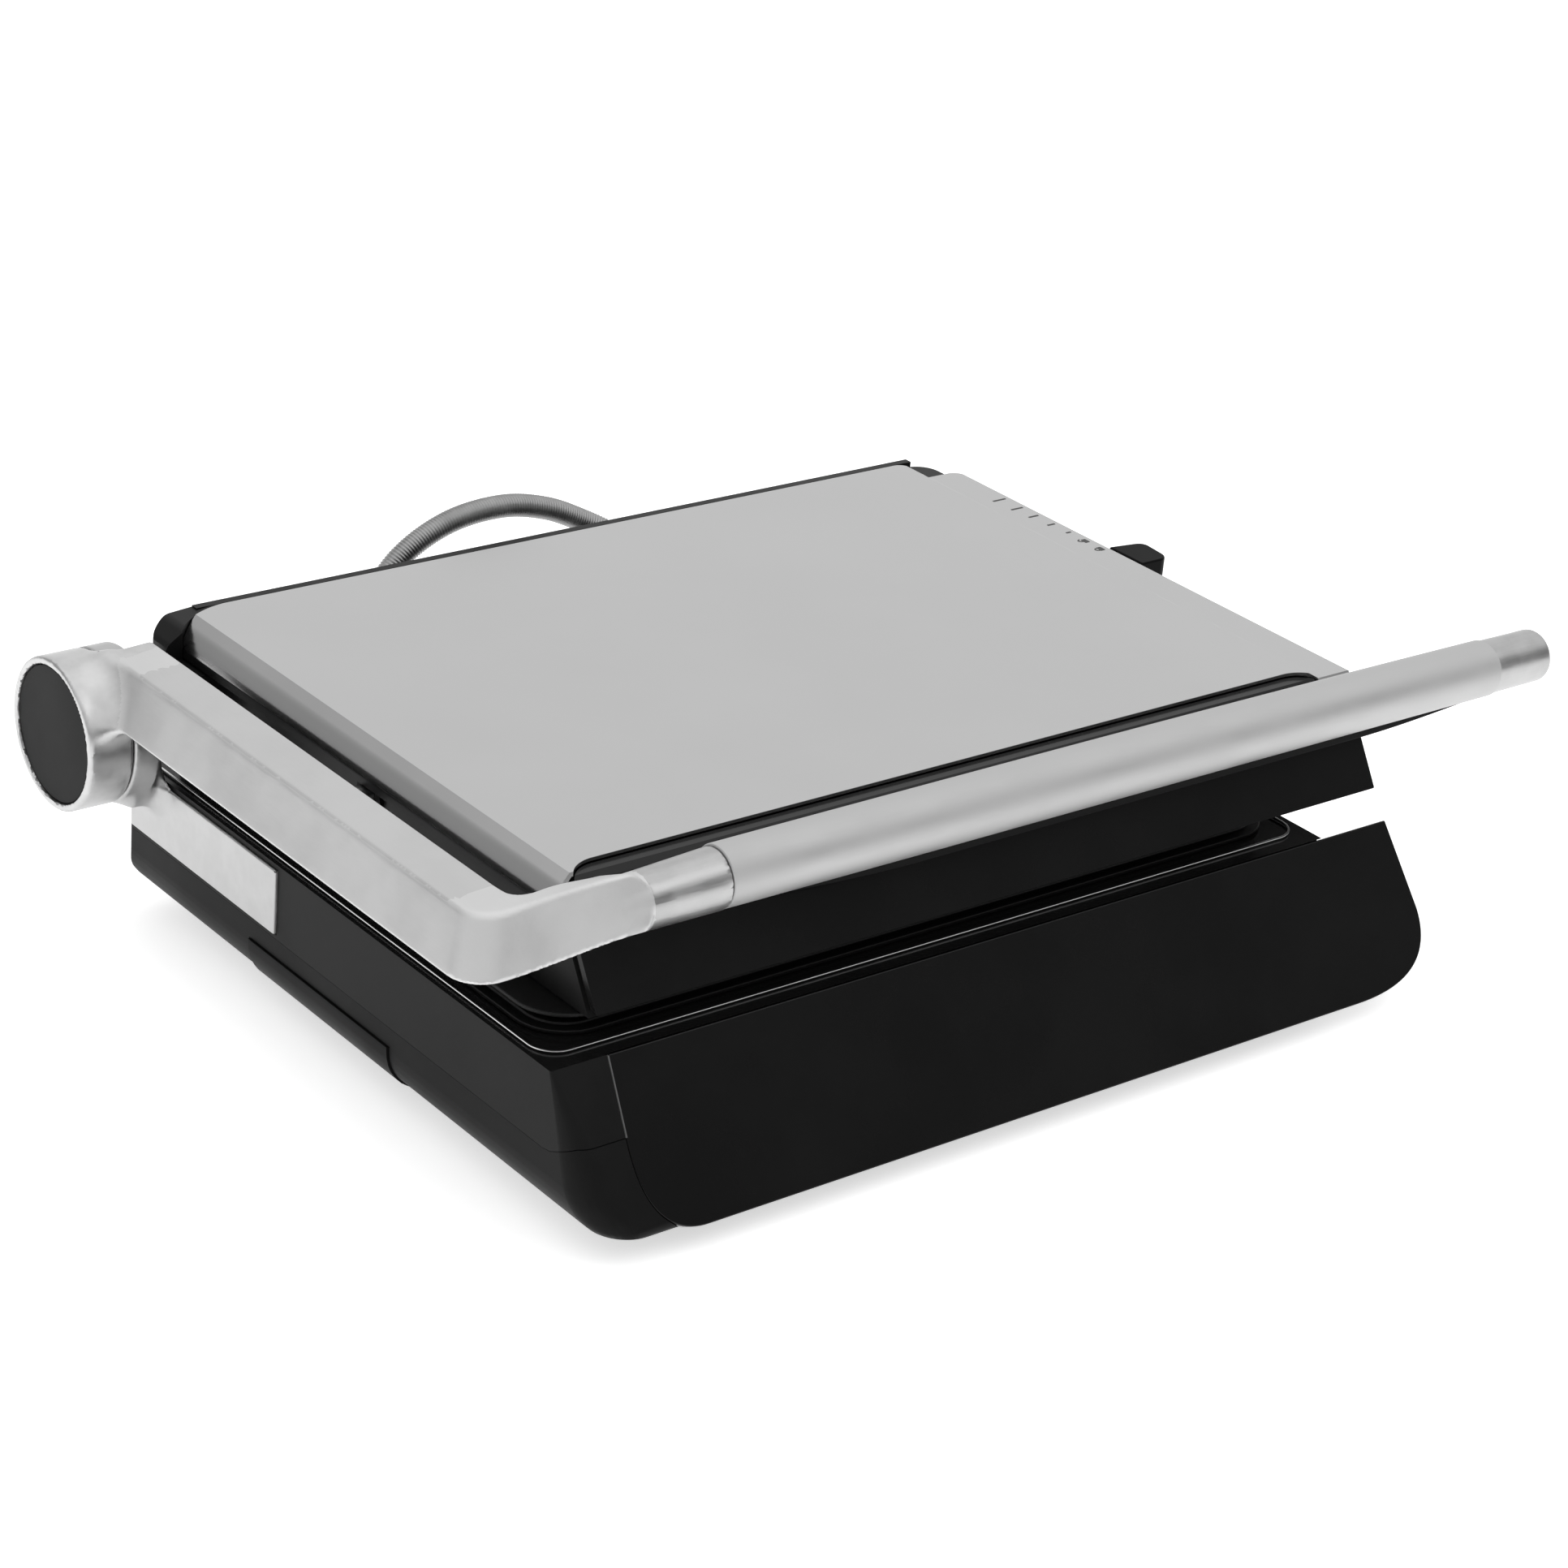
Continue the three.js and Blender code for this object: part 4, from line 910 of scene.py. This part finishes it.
def tapered_corner(inset, front_shift):
    """A block whose front left edge is sharp at the deck and widely rounded at the bottom."""
    levels, radii = zip(*reversed(FRONT_CORNER))
    rings = [(DECK + 1, BODY_LEFT + inset)]
    for a in np.linspace(0, math.pi / 2, 10):
        reach = BODY_ROUND - inset
        rings.append((BODY_BOTTOM + BODY_ROUND - reach * math.sin(a),
                      BODY_LEFT + BODY_ROUND - reach * math.cos(a)))
    points = []
    for z, left in rings:
        x, y = left - 0.03, max(front_y(z), -60 - 1.25 * (z - BODY_BOTTOM)) + front_shift - 0.04
        r = max(np.interp(z, levels, radii) - inset, 0.6)
        points += [(x, BODY_REAR + 50, z), (BODY_RIGHT + 50, BODY_REAR + 50, z), (BODY_RIGHT + 50, y, z)]
        points += [(x + r + r * math.cos(a), y + r + r * math.sin(a), z)
                   for a in np.linspace(math.pi, 1.5 * math.pi, 25)]
    return hull("corner", points)


def body_form(inset):
    """The base's outer form, or the form of its inside face at a wall's depth."""
    low, top = BODY_BOTTOM + inset, DECK - inset
    front_shift = FRONT_INSET if inset > 0 else 1.3 * inset
    front = front_y(DECK) + front_shift
    rear = BODY_REAR - inset
    side = rounded([(front, top, 0), (front - LEAN * (DECK - 11), 11 + inset, 3), (-60 + inset, low, 3),
                    (rear, low, 12 - inset), (rear, top, 0)], 0, 10)
    form = prism("form", side, along_x, BODY_LEFT - 5, BODY_RIGHT + 10)
    left, round_r = BODY_LEFT + inset, BODY_ROUND - inset
    face = rounded([(left, DECK + 1, 0), (left, low, round_r), (BODY_RIGHT + BODY_DRAFT, low, round_r),
                    (BODY_RIGHT - inset, DECK + 1, 0)], 0, 16)
    plan = rounded([(left, -80, 0), (BODY_RIGHT + 10, -80, 0), (BODY_RIGHT + 4 - inset, rear, 10 - inset),
                    (left, rear, max(4 - inset, 0.5))], 0, 10)
    return keep(form, prism("face", face, along_y, -90, BODY_REAR + 1),
                prism("plan", plan, along_z, 0, DECK + 1), tapered_corner(inset, front_shift))


def fascia_outline(by, steps=24):
    bottom = -(DECK - FASCIA_BOTTOM) * SLOPE
    points = [(-3.4 - by, by), (-4.5 - by, -26.5), (-4.6 - by, -30)]
    for i in range(1, steps + 1):
        t = i / steps
        points.append(bend((-4.6 - by, -30), (-4.9 - by, bottom - by), (17.5, bottom - by), t))
    points.append((308, bottom - by))
    for i in range(1, steps + 1):
        t = i / steps
        points.append(bend((308, bottom - by), (348.6 + by, bottom - by), (347.4 + by, -34), t))
    return [*points, (343 + by, by)]


def build_base():
    wing = keep(prism("wing", fascia_outline(-4), on_front, -FASCIA_T - GAP - WALL, -FASCIA_T - GAP),
                block(BODY_RIGHT - 10, BODY_RIGHT + 60, -90, 0, 0, DECK))
    half = [0.16, 0.16, 0.12, 0.08, 0.06, 0.06]
    upper, lower = ([(y, z + way * h) for (y, z), h in zip(PARTING, half)] for way in (1, -1))
    within = (BODY_LEFT + 0.45, BODY_RIGHT + 1.9, front_y(PARTING[0][1]) + 0.45, BODY_REAR - 0.45, 9.9)
    groove = prism("seam", upper + lower[::-1], along_x, BODY_LEFT - 6, BODY_RIGHT + 12)
    groove = cut(groove, slab("within", within, 20, 50, 24))
    shell = join(cut(body_form(0), body_form(WALL), groove), wing)
    tray_door = block(BODY_LEFT - 5, -2, TRAY_Y0, TRAY_Y1, 0, TRAY_TOP + GAP)
    y0, y1, z0, z1 = BRACKET_PLATE
    window = block(BODY_LEFT - 1, BODY_LEFT + WALL + 0.2, y0 - GAP, y1 + GAP, z0 - GAP, z1 + GAP)
    socket = rear_fitting(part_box("conduit_ferrule_base"))[0]
    outlet = rear_fitting(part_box("cord_gland"))[0]
    shell = cut(shell, slab("opening", WELL, DECK - 10, DECK + 5),
                slab("underside", grown(UNDERSIDE, GAP), 0, 10),
                prism("recess", fascia_outline(GAP), on_front, -FASCIA_T - GAP, 6), tray_door, window,
                rod(along_y, socket, 6.3, BODY_REAR - 6, BODY_REAR + 2),
                rod(along_y, outlet, 6.3, BODY_REAR - 6, BODY_REAR + 2))
    soften(shell, 0.45, 2, 38)
    finishes = [HOUSING, LOWER_SHELL, DECK_GLOSS]
    finish_piece(shell, "base_shell", finishes, "base", ["base_housing"])
    seam_y, seam_z = zip(*PARTING)
    paint_faces(shell, lambda x, y, z: 1 if z < np.interp(y, seam_y, seam_z) else 2 if z > DECK - 0.2 else 0)
    fascia = prism("fascia", fascia_outline(0), on_front, -FASCIA_T, 0)
    soften(fascia, 0.5, 3, 40)
    finishes = [GLOSS_PANEL, PAINTED_EDGE_HIGHLIGHT]
    finish_piece(fascia, "base_fascia", finishes, "base", ["front_fascia"], crisp=40)
    # the fascia's left edge faces above z 38 get the painted highlight grey
    paint_faces(fascia, lambda x, y, z: 1 if x < -3.2 and z > 38 else 0)
    trim = (-22.4, 307, -28.8, 218, 10)
    outer = slab("trim", trim, DECK + GAP, DECK + 1.1, 16)
    ring = cut(outer, slab("hole", grown(trim, -0.9), DECK - 1, DECK + 3, 16))
    soften(ring, 0.3, 2, 40)
    finish_piece(ring, "trim_line", BRIGHT_TRIM, "base", ["deck_trim_ring"])


def build_underside():
    z0, z1 = BODY_BOTTOM, 8.6
    cover = slab("cover", UNDERSIDE, z0, z1)
    vents = [prism("vent", rectangle(82 + 13 * i, 86 + 13 * i, y, y + 46, 1.9, 5), along_z, z0 - 1, z1 + 1)
             for i in range(11) for y in (20, 112)]
    screws = [(2, 10), (284, 10), (2, 150), (284, 150), (144, -46), (144, 200)]
    wells = [rod(along_z, centre, 5, z0 - 1, z0 + 1.2, 32) for centre in screws]
    cut(cover, *vents, *wells)
    soften(cover, 0.35, 2, 40)
    finish_piece(cover, "underside_cover", LOWER_SHELL, "base", ["bottom_cover"])
    for i, (x, y) in enumerate(screws):
        profile = [(z0 + 0.25, 0.3), (z0 + 0.2, 3.0), (z0 + 0.6, 3.7), (z0 + 1.15, 3.8)]
        head = turned("head", profile, along_z, (x, y), 40)
        cross = [block(x - 2, x + 2, y - 0.45, y + 0.45, z0 - 1, z0 + 0.9),
                 block(x - 0.45, x + 0.45, y - 2, y + 2, z0 - 1, z0 + 0.9)]
        cut(head, *cross)
        finish_piece(head, f"underside_screw_{i + 1}", ZINC_SHEET, "base")
    for corner in ("front_left", "front_right", "rear_left", "rear_right"):
        low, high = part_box(f"foot_{corner}")
        centre = ((low.x + high.x) / 2 - ORIGIN.x) / MM, ((low.y + high.y) / 2 - ORIGIN.y) / MM
        r, top = (high.x - low.x) / 2 / MM, high.z / MM
        profile = [(0.5, 0.4), (0.5, 3.2), (0, 3.8), (0, r - 1.7), (0.25, r - 1.0), (0.8, r - 0.5),
                   (1.6, r - 0.2), (top - 0.7, r - 0.02), (top, r - 0.4), (top, 0.4)]
        foot = turned("foot", profile, along_z, centre, 72)
        finish_piece(foot, f"rubber_foot_{corner}", RUBBER, "base", [f"foot_{corner}"], crisp=50)


def build_tray():
    """The drip tray: a skin that continues the base's form, and a pan behind it."""
    skin = cut(body_form(-0.8), body_form(3.2))
    skin = keep(skin, block(-40, -9.5, TRAY_Y0 + 0.4, TRAY_Y1 - 0.4, 0, TRAY_TOP))
    end = (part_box("drip_tray")[1].x - ORIGIN.x) / MM
    pan = keep(block(-23, end, 55, 139, 9.6, TRAY_TOP - 2), body_form(0.4))
    hollow = slab("hollow", (-19, end - 2, 57, 137, 5), 11.4, 40)
    tray = cut(join(pan, skin), hollow)
    soften(tray, 0.7, 3, 35)
    finish_piece(tray, "drip_drawer", TRAY_PLASTIC, "tray", ["drip_tray"], crisp=38)


def build_gland():
    centre, y0, y1 = rear_fitting(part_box("cord_gland"))
    profile = [(y0, 3.7), (y0, 5.9), (BODY_REAR + GAP, 5.9), (BODY_REAR + GAP, 8.4), (BODY_REAR + 0.7, 9),
               (BODY_REAR + 3.2, 9), (BODY_REAR + 3.9, 8.3)]
    for i in range(3):
        y = BODY_REAR + 4.2 + 1.25 * i
        profile += [(y, 5.4), (y + 0.3, 6.2 - 0.3 * i), (y + 0.8, 6.1 - 0.3 * i), (y + 1.0, 5.2)]
    profile += [(y1 - 0.1, 5.0), (y1, 4.6), (y1, 3.7)]
    gland = tube_of("gland", profile, along_y, centre, 64)
    finish_piece(gland, "cord_grommet", RUBBER, "base", ["cord_gland"], crisp=45)


# ---------------------------------------------------------------- flexible conduit
def smooth_route(points, steps):
    """A Catmull-Rom curve through the points, with about even steps along its length."""
    spline = [2 * np.array(points[0]) - np.array(points[1]), *map(np.array, points),
              2 * np.array(points[-1]) - np.array(points[-2])]
    dense = []
    for i in range(1, len(spline) - 2):
        a, b, c, d = spline[i - 1:i + 3]
        for t in np.linspace(0, 1, 60, endpoint=False):
            dense.append(0.5 * (2 * b + (c - a) * t + (2 * a - 5 * b + 4 * c - d) * t * t
                                + (3 * b - a - 3 * c + d) * t ** 3))
    dense.append(spline[-2])
    dense = np.array(dense)
    travelled = np.concatenate([[0], np.cumsum(np.linalg.norm(np.diff(dense, axis=0), axis=1))])
    even = np.linspace(0, travelled[-1], steps)
    return np.stack([np.interp(even, travelled, dense[:, k]) for k in range(3)], -1), travelled[-1]


def build_conduit():
    pitch, sides, per_turn = 1.15, 20, 4
    _, length = smooth_route(CONDUIT_ROUTE, 10)
    turns = int(length / pitch)
    path, _ = smooth_route(CONDUIT_ROUTE, turns * per_turn + 1)
    ahead = np.gradient(path, axis=0)
    ahead /= np.linalg.norm(ahead, axis=1)[:, None]
    across = np.cross(ahead[0], (0, 0, 1))
    rings = []
    for i, (point, direction) in enumerate(zip(path, ahead)):
        across = across - direction * across.dot(direction)
        across /= np.linalg.norm(across)
        other = np.cross(direction, across)
        ring = []
        for k in range(sides):
            a = 2 * math.pi * k / sides
            wave = math.cos(2 * math.pi * (i / per_turn - k / sides))
            radius = CONDUIT_R - 0.22 + 0.2 * wave
            ring.append(tuple(point + radius * (math.cos(a) * across + math.sin(a) * other)))
        rings.append(ring)
    conduit = loft("conduit", rings)
    conduit.name = conduit.data.name = "wound_conduit"
    conduit.data.materials.append(CONDUIT_METAL)
    conduit.data.shade_smooth()
    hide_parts("flexible_conduit")
    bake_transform(conduit)
    centre, y0, y1 = rear_fitting(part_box("conduit_ferrule_base"))
    nut = [(centre[0] + 6.9 * math.cos(a), centre[1] + 6.9 * math.sin(a))
           for a in np.linspace(0, 2 * math.pi, 6, endpoint=False)]
    ferrule = prism("nut", nut, along_y, y1 - 1.6, y1)
    soften(ferrule, 0.3, 2, 30)
    ferrule = join(ferrule, rod(along_y, centre, 5.4, y0, y1 - 0.5, 48))
    finish_piece(ferrule, "conduit_nut", ZINC_SHEET, "base", ["conduit_ferrule_base"])
    centre, y0, y1 = rear_fitting(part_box("conduit_grommet_lid"))
    profile = [(y0, 8), (y0, 9.3), (LID_REAR + GAP, 9.3), (LID_REAR + GAP, 10.7), (LID_REAR + 0.6, 11),
               (y1 - 0.1, 10.6), (y1, 9.6), (y1, 8.4), (y1 - 0.2, 8)]
    grommet = tube_of("grommet", profile, along_y, centre, 72)
    finish_piece(grommet, "lid_grommet", RUBBER, "lid", ["conduit_grommet_lid"], crisp=45)


# ---------------------------------------------------------------- CAD nodes that stay as they are
CARRIED = {
    "lower_heater": OXIDISED, "upper_heater": OXIDISED, "touch_control_board": BOARD, "power_board": BOARD,
    "power_relay": SATIN_PLASTIC, "hinge_bush": SATIN_PLASTIC, "lid_pivot_bush": SATIN_PLASTIC,
    "lower_reflector": ZINC_SHEET, "upper_reflector": ZINC_SHEET, "tray_guide": ZINC_SHEET,
    "lower_thermostat": ZINC_SHEET, "upper_thermostat": ZINC_SHEET, "hinge_backing_plate": ZINC_SHEET,
    "bracket_screw_1": ZINC_SHEET, "bracket_screw_2": ZINC_SHEET, "bracket_screw_3": ZINC_SHEET,
    "hinge_shaft": ZINC_SHEET, "hinge_washer": ZINC_SHEET, "lid_pivot_pin": ZINC_SHEET,
    "lid_pivot_clip": ZINC_SHEET, "height_slider_carriage": ZINC_SHEET,
}


def dress_carried_nodes():
    for name, material in CARRIED.items():
        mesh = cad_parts[name].data
        mesh.materials.clear()
        mesh.materials.append(material)


# ---------------------------------------------------------------- camera, light and floor
WORLD = 0.9                     # brightness of the studio's walls


def build_camera():
    data = bpy.data.cameras.new("camera")
    data.lens, data.sensor_width = 90.65, 36
    camera = bpy.data.objects.new("camera", data)
    right = Vector((0.78596, -0.61292, 0.08126))
    back = Vector((-0.58336, -0.69160, 0.42589)).normalized()
    right = (right - back * right.dot(back)).normalized()
    turn = Matrix((right, back.cross(right), back)).transposed()
    camera.matrix_world = Matrix.Translation(place(-658.4, -885.2, 662.4)) @ turn.to_4x4()
    bpy.context.scene.collection.objects.link(camera)
    bpy.context.scene.camera = camera


def build_light(name, location, size, power, target=(0, 0, 0.05)):
    data = bpy.data.lights.new(name, "AREA")
    data.shape = "RECTANGLE"
    data.size, data.size_y, data.energy = size[0], size[1], power
    light = bpy.data.objects.new(name, data)
    light.location = location
    light.rotation_euler = (Vector(location) - Vector(target)).to_track_quat("Z", "Y").to_euler()
    bpy.context.scene.collection.objects.link(light)


def build_world():
    """A pale studio: dimmer low in front of the object, and dimmer behind its left side."""
    world = bpy.data.worlds.new("studio")
    bpy.context.scene.world = world
    world.use_nodes = True
    tree = world.node_tree
    background = tree.nodes["Background"]
    background.inputs["Color"].default_value = (1, 1, 1, 1)
    coordinates = tree.nodes.new("ShaderNodeTexCoord")
    parts = tree.nodes.new("ShaderNodeSeparateXYZ")
    tree.links.new(coordinates.outputs["Generated"], parts.inputs[0])
    x, y, z = (parts.outputs[axis] for axis in "XYZ")
    in_front = product(tree, ramp_between(tree, y, 0.1, -0.35), ramp_between(tree, z, 0.62, 0.42))
    behind = product(tree, ramp_between(tree, x, 0.3, -0.5), ramp_between(tree, y, 0.2, 0.5))
    behind = product(tree, behind, ramp_between(tree, z, 0.95, 0.65))
    strength = product(tree, ramp_between(tree, in_front, 0, 1, WORLD, 0.28 * WORLD),
                       ramp_between(tree, behind, 0, 1, 1.0, 0.42))
    tree.links.new(strength, background.inputs["Strength"])


def build_floor():
    side = 8.0
    mesh = bpy.data.meshes.new("floor")
    corners = [(-side, -side, 0), (side, -side, 0), (side, side, 0), (-side, side, 0)]
    mesh.from_pydata(corners, [], [(0, 1, 2, 3)])
    floor = link("floor", mesh)
    material, tree, shader = new_material("floor_paper", specular=0.1)
    fibre = grain(tree, 2, 3.0)
    tree.links.new(tint(tree, fibre, 0.93, 0.95), shader.inputs["Base Color"])
    shader.inputs["Roughness"].default_value = 0.9
    shader.inputs["Emission Color"].default_value = (1, 1, 1, 1)
    shader.inputs["Emission Strength"].default_value = 0.6
    mesh.materials.append(material)


bpy.context.scene.view_settings.view_transform = "Standard"
build_camera()
build_world()
build_light("overhead", (0.1, 0.3, 1.9), (2.4, 2.0), 4)
build_light("front_fill", (0.95, -1.15, 1.75), (1.2, 1.0), 3)
build_floor()

build_handle()
build_bracket()
build_cover()
build_lid_housing()
build_lid_panel()
build_scale()
build_knob()
build_plate("lower_grill_plate", "lower_plate", "base", 0)
build_plate("upper_grill_plate", "upper_plate", "lid", LOWER_RIM_TOP + UPPER_RIM_BOTTOM)
build_base()
build_underside()
build_tray()
build_gland()
build_conduit()
dress_carried_nodes()
